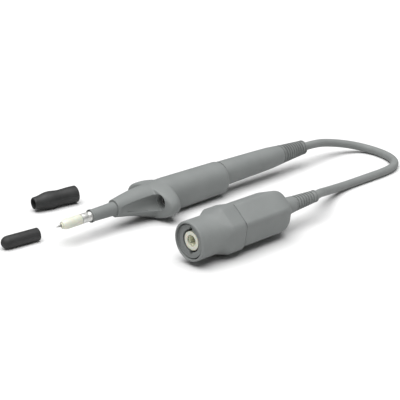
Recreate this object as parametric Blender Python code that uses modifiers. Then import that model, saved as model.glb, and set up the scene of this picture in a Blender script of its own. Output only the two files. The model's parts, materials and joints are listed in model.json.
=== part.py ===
"""Test probe with a BNC plug: handle with a sprung needle and a finger guard, short coaxial cable,
insulated bayonet plug on its end, and two rubber tip covers lying beside it. Metres, +Z up, floor at z = 0.

Each unit is modelled along its own +X axis, from its front end backwards, and hangs on an empty on that axis.
"""
import math

import bmesh
import bpy
from mathutils import Vector

COLLECTION = "bnc_test_probe"

# Places of the four units on the floor: front end X, axis Y, and turn about the vertical in degrees
HANDLE_X = -0.06605
HANDLE_Y = -0.01375
PLUG_X = -0.0378
PLUG_Y = -0.0649
CAP_X = -0.0846
CAP_Y = 0.0003
CAP_TURN = -5.2
SLEEVE_X = -0.0496
SLEEVE_Y = 0.0264
SLEEVE_TURN = -7.9

# Facets and clearances
FACETS = 34
TUBE_FACETS = 22
SMALL_FACETS = 16
CORNER_POINTS = 5
SEAT_GAP = 0.0003
SLIP = 0.0001
CORNER_ANGLE = 32.0

# Needle, its spring and barrel
NEEDLE_REACH = 0.0029
NEEDLE_RADIUS = 0.00048
NEEDLE_POINT_RADIUS = 0.00012
NEEDLE_POINT_LENGTH = 0.0016
NEEDLE_HEAD_RADIUS = 0.00062
NEEDLE_HEAD_LENGTH = 0.0030
SPRING_WIRE = 0.00011
SPRING_TURNS = 7
SPRING_POINTS = 8
BARREL_RADIUS = 0.00100
BARREL_WALL = 0.00027
BARREL_MOUTH = 0.0014
BARREL_PROUD = 0.0003
BARREL_LENGTH = 0.0190

# White insulator and the silver shield tube round it
INSULATOR_RADIUS = 0.0023
INSULATOR_NOSE_RADIUS = 0.0015
INSULATOR_NOSE = 0.0021
INSULATOR_EXPOSED = 0.0097
INSULATOR_CORE_RADIUS = 0.00175
SHIELD_RADIUS = 0.0022
SHIELD_EXPOSED = 0.0049
SHIELD_GROOVE_DEPTH = 0.00022
SHIELD_GROOVE_WIDTH = 0.0005

# Grey nose tube between the shield tube and the housing
NOSE_RIM_RADIUS = 0.00295
NOSE_RIM_LENGTH = 0.0009
NOSE_RIM_STEP = 0.0006
NOSE_FRONT_RADIUS = 0.00272
NOSE_REAR_RADIUS = 0.00305
NOSE_EXPOSED = 0.0130
NOSE_BURIED = 0.0140

# Moulded housing: cone, finger guard and grip in one piece
LIP_RADIUS = 0.00398
LIP_LENGTH = 0.0013
CONE_LENGTH = 0.0194
CONE_REAR_RADIUS = 0.0074
WING_REACH = 0.0157
WING_LENGTH = 0.0088
WING_HALF_HEIGHT = 0.0069
WING_PEAK = 0.37
GUARD_HALF_HEIGHT = 0.0077
GUARD_DROP = 0.0018
GRIP_LENGTH = 0.0349
GRIP_HALF_WIDTH = 0.0082
GRIP_HALF_HEIGHT = 0.00805
GRIP_DROP = 0.0015
GRIP_TAPER = 0.0004
GRIP_END_ROUND = 0.0016
GRIP_END_LIFT = 0.35
CAVITY_RADIUS = 0.0051
CAVITY_LENGTH = 0.0312

# Lead socket in the near wing, with the trough that leads a plug to it
LEAD_Y = -0.0079
LEAD_Z = -0.0001
LEAD_RADIUS = 0.0040
LEAD_DEPTH = 0.0044
LEAD_CONTACT_RADIUS = 0.0021
LEAD_CONTACT_BORE = 0.00165
LEAD_CONTACT_LENGTH = 0.0022
LEAD_CONTACT_PROUD = 0.0012

# Divider network in the grip's cavity
CAN_WALL = 0.0003
CAN_LENGTH = 0.0250
BOARD_LENGTH = 0.0210
BOARD_WIDTH = 0.0076
BOARD_THICKNESS = 0.0010
CHIP_LENGTH = 0.0026
CHIP_HEIGHT = 0.0011
CHIP_COUNT = 4

# Tapered tail of the handle, crimp and ribbed boot
TAIL_LENGTH = 0.0421
TAIL_FRONT_RADIUS = 0.00595
TAIL_MIDDLE_RADIUS = 0.0055
TAIL_REAR_RADIUS = 0.0047
TAIL_TAPER = 0.0165
TAIL_END_TAPER = 0.0062
TAIL_SPIGOT = 0.0038
TAIL_BORE = 0.0033
HANDLE_BOOT_LENGTH = 0.0141
HANDLE_BOOT_FRONT_RADIUS = 0.0046
HANDLE_BOOT_REAR_RADIUS = 0.0036
HANDLE_BOOT_SPIGOT = 0.0060
HANDLE_BOOT_RIBS = 7
HANDLE_RIB_DEPTH = 0.00065
BOOT_END_LENGTH = 0.0012
BOOT_END_ROUND = 0.0005
CRIMP_LENGTH = 0.0080
CRIMP_RADIUS = 0.0030

# Cable: the points are chosen by hand along its loop on the floor
CABLE_DIAMETER = 0.0040
CABLE_BORE_GAP = 0.00025
CABLE_STEP = 0.0050
CABLE_ROUTE = [
    (0.0920, -0.0138, 0.0093),
    (0.0985, -0.0136, 0.0085),
    (0.1052, -0.0139, 0.0071),
    (0.1114, -0.0150, 0.0056),
    (0.1168, -0.0172, 0.0042),
    (0.1209, -0.0206, 0.0030),
    (0.1231, -0.0256, 0.0023),
    (0.1233, -0.0322, 0.00205),
    (0.1216, -0.0391, 0.00205),
    (0.1177, -0.0453, 0.00205),
    (0.1112, -0.0493, 0.00205),
    (0.1026, -0.0506, 0.00205),
    (0.0935, -0.0506, 0.00205),
    (0.0850, -0.0505, 0.00205),
    (0.0768, -0.0506, 0.0022),
    (0.0686, -0.0518, 0.0031),
    (0.0598, -0.0545, 0.0049),
    (0.0506, -0.0586, 0.0075),
    (0.0440, -0.0622, 0.0097),
]

# Plug: turning sleeve with the grip, and the fixed hexagonal body behind it
HEX_VERTEX_TURN = 9.0
SHROUD_RADIUS = 0.0086
SHROUD_WALL = 0.0010
SHROUD_DEPTH = 0.0095
SHROUD_LENGTH = 0.0117
SHROUD_EDGE = 0.0004
FLARE_LENGTH = 0.0040
GRIP_RING_LENGTH = 0.0081
GRIP_RING_FLAT = 0.0100
GRIP_RING_ROUND = 0.0040
GRIP_RING_CHAMFER = 0.0009
PLUG_BODY_LENGTH = 0.0296
PLUG_BODY_FLAT = 0.00915
PLUG_BODY_ROUND = 0.0035
PLUG_BODY_EDGE = 0.0007
PLUG_SHOULDER = 0.0085
PLUG_END_WALL = 0.0009
PLUG_NECK_RADIUS = 0.0070
PLUG_BORE = 0.0059

# Bayonet ring inside the sleeve
BAYONET_FRONT = 0.0006
BAYONET_OUTER = 0.0065
BAYONET_BORE = 0.0049
BAYONET_LENGTH = 0.0163
BAYONET_POCKET_RADIUS = 0.0057
BAYONET_POCKET_FRONT = 0.0098
BAYONET_LIP = 0.0019
SLOT_RADIUS = 0.0011
SLOT_DEPTH = 0.0012
SLOT_ENTRY = 0.0036
SLOT_TURN = 78.0
SLOT_RISE = 0.0028
SLOT_STEPS = 8
AXIS_MARK = 0.01

# Parts that stand still inside the plug
WHITE_TUBE_FRONT = 0.0015
WHITE_TUBE_RADIUS = 0.0041
WHITE_TUBE_BORE = 0.0028
WHITE_TUBE_LENGTH = 0.0125
CONTACT_RECESS = 0.0012
CONTACT_BORE = 0.00235
CONTACT_LENGTH = 0.0090
CONTACT_SLOT = 0.0005
BEAD_LENGTH = 0.0062
PIN_RADIUS = 0.00069
PIN_TIP = 0.0042
PIN_LENGTH = 0.0155
CORE_FRONT = 0.0115
CORE_RADIUS = 0.0047
CORE_WALL = 0.00035
CORE_FLANGE_FRONT = 0.0184
CORE_FLANGE_RADIUS = 0.0062
CORE_FLANGE_LENGTH = 0.0014
CORE_REAR_RADIUS = 0.0055
CORE_REAR_BORE = 0.0034
CORE_LENGTH = 0.0260
GASKET_THICKNESS = 0.0010
CLIP_THICKNESS = 0.0005
CLIP_HEIGHT = 0.00055
CLIP_OPENING = 50.0
CLIP_STEPS = 20
WASHER_THICKNESS = 0.0003
WASHER_WAVE = 0.0002
WASHER_WAVES = 3

# Boot of the plug
PLUG_BOOT_LENGTH = 0.0213
PLUG_BOOT_ROOT_RADIUS = 0.0042
PLUG_BOOT_MIDDLE_RADIUS = 0.0036
PLUG_BOOT_REAR_RADIUS = 0.0028
PLUG_BOOT_SPIGOT = 0.0058
PLUG_BOOT_SMOOTH = 0.0095
PLUG_BOOT_RIBS = 7
PLUG_RIB_DEPTH = 0.0004

# Loose rubber covers
CAP_LENGTH = 0.0177
CAP_RADIUS = 0.00285
CAP_BORE = 0.0024
CAP_END = 0.0034
CAP_DOME = 0.0033
SLEEVE_LENGTH = 0.0219
SLEEVE_FRONT_RADIUS = 0.0029
SLEEVE_BULGE_RADIUS = 0.00405
SLEEVE_WAIST_RADIUS = 0.00365
SLEEVE_REAR_RADIUS = 0.0039
SLEEVE_FRONT_BORE = 0.0023
SLEEVE_REAR_BORE = 0.0031
SLEEVE_STEP = 0.0090
SLEEVE_STEP_TAPER = 0.0012
SLEEVE_RIM_ROUND = 0.0006

# Stations along the handle, from the needle's tip backwards
BARREL_FRONT = NEEDLE_REACH - BARREL_PROUD
INSULATOR_FRONT = NEEDLE_REACH
SHIELD_FRONT = INSULATOR_FRONT + INSULATOR_EXPOSED + SEAT_GAP
NOSE_FRONT = SHIELD_FRONT + SHIELD_EXPOSED
HOUSING_FRONT = NOSE_FRONT + NOSE_EXPOSED
GUARD_FRONT = HOUSING_FRONT + CONE_LENGTH
GUARD_REAR = GUARD_FRONT + WING_LENGTH
GRIP_REAR = GUARD_REAR + GRIP_LENGTH
CAVITY_FRONT = GRIP_REAR - CAVITY_LENGTH
TAIL_FRONT = GRIP_REAR + SEAT_GAP
TAIL_REAR = TAIL_FRONT + TAIL_LENGTH
HANDLE_BOOT_FRONT = TAIL_REAR + SEAT_GAP
HANDLE_REAR = HANDLE_BOOT_FRONT + HANDLE_BOOT_LENGTH
HANDLE_CRIMP_FRONT = TAIL_REAR - HANDLE_BOOT_SPIGOT - 2 * SEAT_GAP - CRIMP_LENGTH
HANDLE_Z = GRIP_HALF_HEIGHT + GRIP_DROP

# Stations along the plug, from the shroud's rim backwards
FLARE_REAR = SHROUD_LENGTH + FLARE_LENGTH
GRIP_RING_REAR = FLARE_REAR + GRIP_RING_LENGTH
PLUG_BODY_FRONT = GRIP_RING_REAR + SEAT_GAP
PLUG_NECK_FRONT = CORE_FLANGE_FRONT + CORE_FLANGE_LENGTH + SEAT_GAP
PLUG_BODY_REAR = PLUG_BODY_FRONT + PLUG_BODY_LENGTH
PLUG_BOOT_FRONT = PLUG_BODY_REAR + SEAT_GAP
PLUG_REAR = PLUG_BOOT_FRONT + PLUG_BOOT_LENGTH
PLUG_CRIMP_FRONT = PLUG_BODY_REAR - PLUG_BOOT_SPIGOT - 2 * SEAT_GAP - CRIMP_LENGTH
CABLE_BORE = CABLE_DIAMETER / 2 + CABLE_BORE_GAP


def corner_distance(flat, rounding):
    """Distance from the axis to the centre of a rounded hexagon's corner arc."""
    return (flat - rounding) / math.cos(math.radians(30))


PLUG_Z = (corner_distance(GRIP_RING_FLAT, GRIP_RING_ROUND) * math.cos(math.radians(HEX_VERTEX_TURN))
          + GRIP_RING_ROUND)


def clear_scene():
    """Removes what the file holds and makes the two collections."""
    for obj in list(bpy.data.objects):
        bpy.data.objects.remove(obj)
    for name in (COLLECTION, "cutters"):
        collection = bpy.data.collections.new(name)
        bpy.context.scene.collection.children.link(collection)


def material(name, colour, roughness, metallic=0.0):
    """A Principled material, made once for each name."""
    found = bpy.data.materials.get(name)
    if found:
        return found
    made = bpy.data.materials.new(name)
    made.use_nodes = True
    shader = made.node_tree.nodes["Principled BSDF"]
    shader.inputs["Base Color"].default_value = (*colour, 1.0)
    shader.inputs["Roughness"].default_value = roughness
    shader.inputs["Metallic"].default_value = metallic
    return made


def grey_plastic():
    return material("grey_plastic", (0.235, 0.250, 0.247), 0.48)


def grey_rubber():
    return material("grey_rubber", (0.20, 0.212, 0.21), 0.62)


def black_rubber():
    return material("black_rubber", (0.012, 0.012, 0.013), 0.55)


def white_plastic():
    return material("white_plastic", (0.80, 0.80, 0.70), 0.38)


def bright_metal():
    return material("bright_metal", (0.72, 0.72, 0.70), 0.24, 1.0)


def brass():
    return material("brass", (0.62, 0.50, 0.25), 0.3, 1.0)


def green_board():
    return material("green_board", (0.03, 0.14, 0.07), 0.5)


def link(obj, parent=None, collection=COLLECTION):
    """Puts an object in its collection and under its parent."""
    bpy.data.collections[collection].objects.link(obj)
    obj.parent = parent
    return obj


def empty(name, place, turn=0.0):
    """An axis that a unit's pieces hang on."""
    axis = link(bpy.data.objects.new(name, None))
    axis.location = place
    axis.rotation_euler = (0.0, 0.0, math.radians(turn))
    axis.empty_display_size = AXIS_MARK
    return axis


def make_solid(obj):
    """Bakes an object's modifiers into its mesh and shades it smooth between its real corners."""
    bpy.context.view_layer.update()
    depsgraph = bpy.context.evaluated_depsgraph_get()
    mesh = bpy.data.meshes.new_from_object(obj.evaluated_get(depsgraph))
    materials = list(obj.data.materials)
    obj.modifiers.clear()
    obj.data = mesh
    mesh.materials.clear()
    for slot in materials:
        mesh.materials.append(slot)
    mesh.shade_smooth()
    mesh.set_sharp_from_angle(angle=math.radians(CORNER_ANGLE))
    return obj


def signed_area(outline):
    """Positive where the closed outline runs anticlockwise."""
    total = 0.0
    for (x0, r0), (x1, r1) in zip(outline, outline[1:] + outline[:1]):
        total += x0 * r1 - x1 * r0
    return total / 2


def turned(name, outline, finish, parent, facets=FACETS, collection=COLLECTION):
    """A turned piece along +X: outline is a list of (distance along the axis, radius)."""
    points = outline if signed_area(outline) > 0 else outline[::-1]
    if any(radius == 0.0 for _, radius in points):
        while points[0][1] != 0.0 or points[-1][1] != 0.0:
            points = points[1:] + points[:1]
        edges = [(i, i + 1) for i in range(len(points) - 1)]
    else:
        edges = [(i, (i + 1) % len(points)) for i in range(len(points))]
    mesh = bpy.data.meshes.new(name)
    mesh.from_pydata([(radius, 0.0, along) for along, radius in points], edges, [])
    mesh.materials.append(finish)
    obj = link(bpy.data.objects.new(name, mesh), parent, collection)
    obj.rotation_euler = (0.0, math.radians(90), 0.0)
    screw = obj.modifiers.new("turn", "SCREW")
    screw.steps = facets
    screw.render_steps = facets
    screw.use_merge_vertices = True
    screw.merge_threshold = 0.000001
    screw.use_smooth_shade = True
    return make_solid(obj)


def tube(start, end, outer, inner, edge=0.0):
    """Outline of a plain tube, with its outer edges chamfered."""
    return [(start, inner), (start, outer - edge), (start + edge, outer), (end - edge, outer),
            (end, outer - edge), (end, inner)] if edge else [(start, inner), (start, outer), (end, outer),
                                                             (end, inner)]


def lofted(name, rings, finish, parent, closed=False, collection=COLLECTION):
    """A skin over rings of equally many points, closed into a loop or capped at both ends."""
    work = bmesh.new()
    rows = [[work.verts.new(point) for point in ring] for ring in rings]
    pairs = list(zip(rows, rows[1:] + rows[:1])) if closed else list(zip(rows, rows[1:]))
    for first, second in pairs:
        for i in range(len(first)):
            j = (i + 1) % len(first)
            work.faces.new((first[i], first[j], second[j], second[i]))
    if not closed:
        work.faces.new(rows[0])
        work.faces.new(rows[-1][::-1])
    bmesh.ops.recalc_face_normals(work, faces=work.faces)
    mesh = bpy.data.meshes.new(name)
    work.to_mesh(mesh)
    work.free()
    mesh.materials.append(finish)
    obj = link(bpy.data.objects.new(name, mesh), parent, collection)
    return make_solid(obj)


def box(name, size, centre, finish, parent, collection=COLLECTION):
    """A block made from a cube primitive, with its size in the mesh."""
    work = bmesh.new()
    bmesh.ops.create_cube(work, size=1.0)
    bmesh.ops.scale(work, vec=size, verts=work.verts)
    bmesh.ops.translate(work, vec=centre, verts=work.verts)
    mesh = bpy.data.meshes.new(name)
    work.to_mesh(mesh)
    work.free()
    mesh.materials.append(finish)
    return link(bpy.data.objects.new(name, mesh), parent, collection)


def swept(name, points, radius, finish, parent, resolution=2, collection=COLLECTION):
    """A round bar along points, as a closed mesh made from a curve with welded caps."""
    curve = bpy.data.curves.new(name, "CURVE")
    curve.dimensions = "3D"
    curve.bevel_depth = radius
    curve.bevel_resolution = resolution
    curve.use_fill_caps = True
    spline = curve.splines.new("POLY")
    spline.points.add(len(points) - 1)
    for point, place in zip(spline.points, points):
        point.co = (*place, 1.0)
    guide = link(bpy.data.objects.new(name + "_curve", curve), parent, collection)
    bpy.context.view_layer.update()
    depsgraph = bpy.context.evaluated_depsgraph_get()
    mesh = bpy.data.meshes.new_from_object(guide.evaluated_get(depsgraph))
    mesh.materials.clear()
    mesh.materials.append(finish)
    work = bmesh.new()
    work.from_mesh(mesh)
    bmesh.ops.remove_doubles(work, verts=work.verts, dist=0.000001)
    bmesh.ops.recalc_face_normals(work, faces=work.faces)
    work.to_mesh(mesh)
    work.free()
    bpy.data.objects.remove(guide)
    obj = link(bpy.data.objects.new(name, mesh), parent, collection)
    return make_solid(obj)


def combine(obj, tools, operation="DIFFERENCE"):
    """Cuts an object with its tools, or joins them to it, and bakes the result."""
    for tool in tools:
        tool.hide_render = True
        tool.display_type = "WIRE"
        step = obj.modifiers.new(tool.name, "BOOLEAN")
        step.operation = operation
        step.object = tool
    return make_solid(obj)


def oval(x, half_width, half_height, drop, count=FACETS, power=2.0):
    """A superellipse across the axis at x, its centre lowered by drop."""
    ring = []
    for i in range(count):
        angle = 2 * math.pi * i / count
        across = math.copysign(abs(math.cos(angle)) ** (2 / power), math.cos(angle))
        up = math.copysign(abs(math.sin(angle)) ** (2 / power), math.sin(angle))
        ring.append((x, half_width * across, half_height * up - drop))
    return ring


def rounded_hexagon(x, flat, rounding, points_per_corner=CORNER_POINTS):
    """A hexagon with rounded corners across the plug's axis, or a circle where flat equals rounding."""
    ring = []
    distance = corner_distance(flat, rounding)
    for corner in range(6):
        middle = math.radians(90 + HEX_VERTEX_TURN + 60 * corner)
        for step in range(points_per_corner):
            angle = middle + math.radians(60 * ((step + 0.5) / points_per_corner - 0.5))
            ring.append((x, distance * math.cos(middle) + rounding * math.cos(angle),
                         distance * math.sin(middle) + rounding * math.sin(angle)))
    return ring


def circle(x, radius, points_per_corner=CORNER_POINTS):
    """A circle whose points line up with those of a rounded hexagon."""
    return rounded_hexagon(x, radius, radius, points_per_corner)


def ribbed(front, rear, front_radius, rear_radius, ribs, depth):
    """Outer outline of a tapering stretch with ring grooves cut into it."""
    points = []
    pitch = (rear - front) / ribs
    for i in range(ribs):
        share = (i + 0.5) / ribs
        radius = front_radius + (rear_radius - front_radius) * share
        start = front + pitch * i
        points.append((start + pitch * 0.12, radius))
        points.append((start + pitch * 0.62, radius))
        points.append((start + pitch * 0.87, radius - depth))
    return points


def make_needle(axis):
    """Pointed plunger that slides back into its barrel."""
    stem_end = BARREL_FRONT + BARREL_MOUTH + BARREL_WALL + SEAT_GAP
    head_end = stem_end + NEEDLE_HEAD_LENGTH
    outline = [(0.0, 0.0), (0.0, NEEDLE_POINT_RADIUS), (NEEDLE_POINT_LENGTH, NEEDLE_RADIUS),
               (stem_end, NEEDLE_RADIUS), (stem_end, NEEDLE_HEAD_RADIUS), (head_end, NEEDLE_HEAD_RADIUS),
               (head_end, 0.0)]
    turned("probe_needle", outline, bright_metal(), axis, SMALL_FACETS)
    return head_end


def make_needle_spring(axis, front):
    """Compression spring between the needle's head and the barrel's closed end."""
    start = front + SEAT_GAP + SPRING_WIRE
    end = BARREL_FRONT + BARREL_LENGTH - BARREL_WALL - SEAT_GAP - SPRING_WIRE
    radius = BARREL_RADIUS - BARREL_WALL - SLIP - SPRING_WIRE
    count = SPRING_TURNS * SPRING_POINTS
    points = []
    for i in range(count + 1):
        angle = 2 * math.pi * SPRING_TURNS * i / count
        points.append((start + (end - start) * i / count, radius * math.cos(angle), radius * math.sin(angle)))
    swept("needle_spring", points, SPRING_WIRE, bright_metal(), axis, resolution=0)


def make_needle_barrel(axis):
    """Brass tube, closed behind, whose rolled mouth holds the needle's head."""
    rear = BARREL_FRONT + BARREL_LENGTH
    mouth = NEEDLE_RADIUS + SLIP
    bore = BARREL_RADIUS - BARREL_WALL
    outline = [(BARREL_FRONT, mouth), (BARREL_FRONT, BARREL_RADIUS), (rear, BARREL_RADIUS), (rear, 0.0),
               (rear - BARREL_WALL, 0.0), (rear - BARREL_WALL, bore),
               (BARREL_FRONT + BARREL_MOUTH + BARREL_WALL, bore), (BARREL_FRONT + BARREL_MOUTH, mouth)]
    return turned_cup("needle_barrel", outline, brass(), axis, SMALL_FACETS)


def turned_cup(name, outline, finish, parent, facets):
    """A turned piece open at one end: its outline meets the axis twice, once outside and once inside."""
    first = next(i for i, (_, radius) in enumerate(outline) if radius == 0.0)
    points = outline[first + 1:] + outline[:first + 1]
    return turned(name, points, finish, parent, facets)


def make_tip_insulator(axis):
    """White tube round the barrel: a wide visible nose and a slim stem inside the shield."""
    bore = BARREL_RADIUS + SLIP
    shoulder = INSULATOR_FRONT + INSULATOR_EXPOSED
    rear = CAVITY_FRONT - SEAT_GAP
    outline = [(INSULATOR_FRONT, bore), (INSULATOR_FRONT, INSULATOR_NOSE_RADIUS),
               (INSULATOR_FRONT + INSULATOR_NOSE * 0.5, INSULATOR_RADIUS * 0.9),
               (INSULATOR_FRONT + INSULATOR_NOSE, INSULATOR_RADIUS), (shoulder, INSULATOR_RADIUS),
               (shoulder, INSULATOR_CORE_RADIUS), (rear, INSULATOR_CORE_RADIUS), (rear, bore)]
    turned("tip_insulator", outline, white_plastic(), axis, TUBE_FACETS)


def make_core_wire(axis):
    """Signal wire from the barrel to the divider board."""
    front = BARREL_FRONT + BARREL_LENGTH + SEAT_GAP
    rear = CAVITY_FRONT + 2 * SEAT_GAP + CAN_WALL + SEAT_GAP
    outline = [(front, 0.0), (front, NEEDLE_RADIUS), (rear, NEEDLE_RADIUS), (rear, 0.0)]
    turned("core_wire", outline, brass(), axis, SMALL_FACETS)


def make_shield_tube(axis):
    """Silver ground tube, with a ring groove where it shows in front of the nose."""
    rear = CAVITY_FRONT - SEAT_GAP
    groove = SHIELD_FRONT + SHIELD_EXPOSED * 0.62
    bore = INSULATOR_CORE_RADIUS + SLIP
    outline = [(SHIELD_FRONT, bore), (SHIELD_FRONT, SHIELD_RADIUS - SLIP),
               (SHIELD_FRONT + SLIP, SHIELD_RADIUS), (groove, SHIELD_RADIUS),
               (groove, SHIELD_RADIUS - SHIELD_GROOVE_DEPTH),
               (groove + SHIELD_GROOVE_WIDTH, SHIELD_RADIUS - SHIELD_GROOVE_DEPTH),
               (groove + SHIELD_GROOVE_WIDTH, SHIELD_RADIUS), (rear, SHIELD_RADIUS), (rear, bore)]
    turned("shield_tube", outline, bright_metal(), axis, TUBE_FACETS)


def make_nose_tube(axis):
    """Grey tube that carries the tip, with a rim in front and its rear inside the housing."""
    rear = HOUSING_FRONT + NOSE_BURIED
    rim_end = NOSE_FRONT + NOSE_RIM_LENGTH
    bore = SHIELD_RADIUS + 1.5 * SLIP
    outline = [(NOSE_FRONT, bore), (NOSE_FRONT, NOSE_RIM_RADIUS - SLIP), (NOSE_FRONT + SLIP, NOSE_RIM_RADIUS),
               (rim_end, NOSE_RIM_RADIUS), (rim_end + NOSE_RIM_STEP, NOSE_FRONT_RADIUS),
               (HOUSING_FRONT, NOSE_REAR_RADIUS), (rear, NOSE_REAR_RADIUS), (rear, bore)]
    turned("nose_tube", outline, grey_plastic(), axis, TUBE_FACETS)


def wing_share(position):
    """How far the guard's wing reaches, from 0 to 1, at a share of its length."""
    if position < WING_PEAK:
        return (1 - ((WING_PEAK - position) / WING_PEAK) ** 3.0) ** (1 / 3.0)
    return (1 - ((position - WING_PEAK) / (1 - WING_PEAK)) ** 2.0) ** 0.5


def cone_rings():
    """Rings from the housing's front lip along the cone to the guard."""
    rings = [oval(HOUSING_FRONT, LIP_RADIUS - SLIP, LIP_RADIUS - SLIP, 0.0),
             oval(HOUSING_FRONT + SLIP, LIP_RADIUS, LIP_RADIUS, 0.0)]
    for share in (0.07, 0.22, 0.42, 0.62, 0.82, 0.97):
        radius = LIP_RADIUS + (CONE_REAR_RADIUS - LIP_RADIUS) * share
        height = radius + (GUARD_HALF_HEIGHT - CONE_REAR_RADIUS) * share ** 2
        rings.append(oval(HOUSING_FRONT + CONE_LENGTH * share, radius, height, GUARD_DROP * share ** 3))
    return rings


def guard_ring(x, body_width, body_height, reach, drop):
    """A section through the guard: the body's oval with the wider oval of the two wings through it."""
    ring = []
    for _, across, up in oval(x, reach, body_height, 0.0):
        body = math.hypot(across / body_width, up / body_height)
        wing = math.hypot(across / reach, up / WING_HALF_HEIGHT)
        scale = 1 / min(body, wing)
        ring.append((x, across * scale, up * scale - drop))
    return ring


def guard_rings():
    """Rings over the two wings, which leave the cone and return to the grip."""
    rings = []
    for turn in (8, 22, 40, 62, 85, 108, 130, 148, 162, 173):
        position = (1 - math.cos(math.radians(turn))) / 2
        base = CONE_REAR_RADIUS + (GRIP_HALF_WIDTH - CONE_REAR_RADIUS) * position
        reach = base + (WING_REACH - base) * wing_share(position)
        height = GUARD_HALF_HEIGHT + (GRIP_HALF_HEIGHT - GUARD_HALF_HEIGHT) * position
        drop = GUARD_DROP + (GRIP_DROP - GUARD_DROP) * position
        rings.append(guard_ring(GUARD_FRONT + WING_LENGTH * position, base, height, reach, drop))
    return rings


def grip_rings():
    """Rings from behind the guard to the grip's rounded rear edge."""
    rings = []
    for share in (0.05, 0.25, 0.6):
        shrink = GRIP_TAPER * share
        rings.append(oval(GUARD_REAR + GRIP_LENGTH * share, GRIP_HALF_WIDTH - shrink,
                          GRIP_HALF_HEIGHT - shrink, GRIP_DROP, power=2.1))
    for turn in (0, 30, 60, 90):
        inset = GRIP_END_ROUND * (1 - math.cos(math.radians(turn)))
        along = GRIP_REAR - GRIP_END_ROUND * (1 - math.sin(math.radians(turn)))
        half_height = GRIP_HALF_HEIGHT - GRIP_TAPER - inset * (1 - GRIP_END_LIFT)
        rings.append(oval(along, GRIP_HALF_WIDTH - GRIP_TAPER - inset, half_height,
                          GRIP_DROP - inset * GRIP_END_LIFT, power=2.1))
    return rings


def bore_rings():
    """Rings of the housing's stepped bore, from its rear opening forwards."""
    nose_bore = NOSE_REAR_RADIUS + SEAT_GAP
    nose_end = HOUSING_FRONT + NOSE_BURIED + SEAT_GAP
    shield_bore = SHIELD_RADIUS + SEAT_GAP
    steps = [(GRIP_REAR, CAVITY_RADIUS), (CAVITY_FRONT, CAVITY_RADIUS), (CAVITY_FRONT, shield_bore),
             (nose_end, shield_bore), (nose_end, nose_bore), (HOUSING_FRONT, nose_bore)]
    return [oval(along, radius, radius, 0.0) for along, radius in steps]


def make_housing(axis):
    """Cone, winged guard and grip in one moulding, with the lead socket cut into the near wing."""
    rings = cone_rings() + guard_rings() + grip_rings() + bore_rings()
    housing = lofted("housing", rings, grey_plastic(), axis, closed=True)
    floor = GUARD_FRONT + LEAD_DEPTH
    front = HOUSING_FRONT + LIP_LENGTH - floor
    trough = turned("trough_cutter", [(0.0, 0.0), (0.0, LEAD_RADIUS), (front, LEAD_RADIUS), (front, 0.0)],
                    grey_plastic(), axis, FACETS, "cutters")
    trough.location = (floor, LEAD_Y, LEAD_Z)
    seat_rear = LEAD_CONTACT_LENGTH + SEAT_GAP
    seat_radius = LEAD_CONTACT_RADIUS + SLIP
    pocket = turned("contact_cutter",
                    [(0.0, 0.0), (0.0, seat_radius), (seat_rear, seat_radius), (seat_rear, 0.0)],
                    grey_plastic(), axis, TUBE_FACETS, "cutters")
    pocket.location = (floor - LEAD_CONTACT_PROUD, LEAD_Y, LEAD_Z)
    combine(housing, [trough, pocket])
    return floor


def make_lead_contact(axis, floor):
    """Bright cup at the bottom of the lead socket."""
    front = floor - LEAD_CONTACT_PROUD
    rear = front + LEAD_CONTACT_LENGTH
    outline = [(front, LEAD_CONTACT_BORE), (front, LEAD_CONTACT_RADIUS), (rear, LEAD_CONTACT_RADIUS),
               (rear, 0.0), (rear - SEAT_GAP, 0.0), (rear - SEAT_GAP, LEAD_CONTACT_BORE)]
    cup = turned_cup("lead_contact", outline, bright_metal(), axis, TUBE_FACETS)
    cup.location = (0.0, LEAD_Y, LEAD_Z)


def make_divider(axis):
    """Shield can in the grip's cavity, with the divider board inside it."""
    front = CAVITY_FRONT + 2 * SEAT_GAP
    outer = CAVITY_RADIUS - SEAT_GAP
    inner = outer - CAN_WALL
    opening = NEEDLE_RADIUS + SEAT_GAP
    rear = front + CAN_LENGTH
    outline = [(front, opening), (front, outer), (rear, outer), (rear, inner), (front + CAN_WALL, inner),
               (front + CAN_WALL, opening)]
    turned("shield_can", outline, bright_metal(), axis, TUBE_FACETS)
    start = front + CAN_WALL + 3 * SEAT_GAP
    board = box("divider_board", (BOARD_LENGTH, BOARD_WIDTH, BOARD_THICKNESS),
                (start + BOARD_LENGTH / 2, 0.0, 0.0), green_board(), axis)
    chips = []
    for i in range(CHIP_COUNT):
        place = start + BOARD_LENGTH * (i + 0.5) / CHIP_COUNT
        side = BOARD_WIDTH * (0.2 if i % 2 else -0.2)
        centre = (place, side, (BOARD_THICKNESS + CHIP_HEIGHT) / 2 - SLIP)
        chips.append(box("chip_%d" % i, (CHIP_LENGTH, CHIP_LENGTH * 0.7, CHIP_HEIGHT), centre, green_board(),
                         axis, "cutters"))
    combine(board, chips, "UNION")


def make_tail(axis):
    """Tapered rear half of the handle, plugged into the grip by its spigot."""
    spigot = CAVITY_RADIUS - SEAT_GAP
    boot_bore = HANDLE_BOOT_FRONT_RADIUS - 3 * SEAT_GAP
    boot_seat = TAIL_REAR - HANDLE_BOOT_SPIGOT
    taper_end = TAIL_REAR - TAIL_END_TAPER
    end_radius = (TAIL_MIDDLE_RADIUS + TAIL_REAR_RADIUS) / 2 + SLIP
    outline = [(TAIL_FRONT - TAIL_SPIGOT, TAIL_BORE), (TAIL_FRONT - TAIL_SPIGOT, spigot),
               (TAIL_FRONT, spigot), (TAIL_FRONT, TAIL_FRONT_RADIUS),
               (TAIL_REAR - TAIL_TAPER, TAIL_MIDDLE_RADIUS), (taper_end, end_radius),
               (TAIL_REAR, TAIL_REAR_RADIUS), (TAIL_REAR, boot_bore),
               (boot_seat, boot_bore), (boot_seat, TAIL_BORE)]
    turned("tail_housing", outline, grey_plastic(), axis)
    return boot_seat, boot_bore


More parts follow.
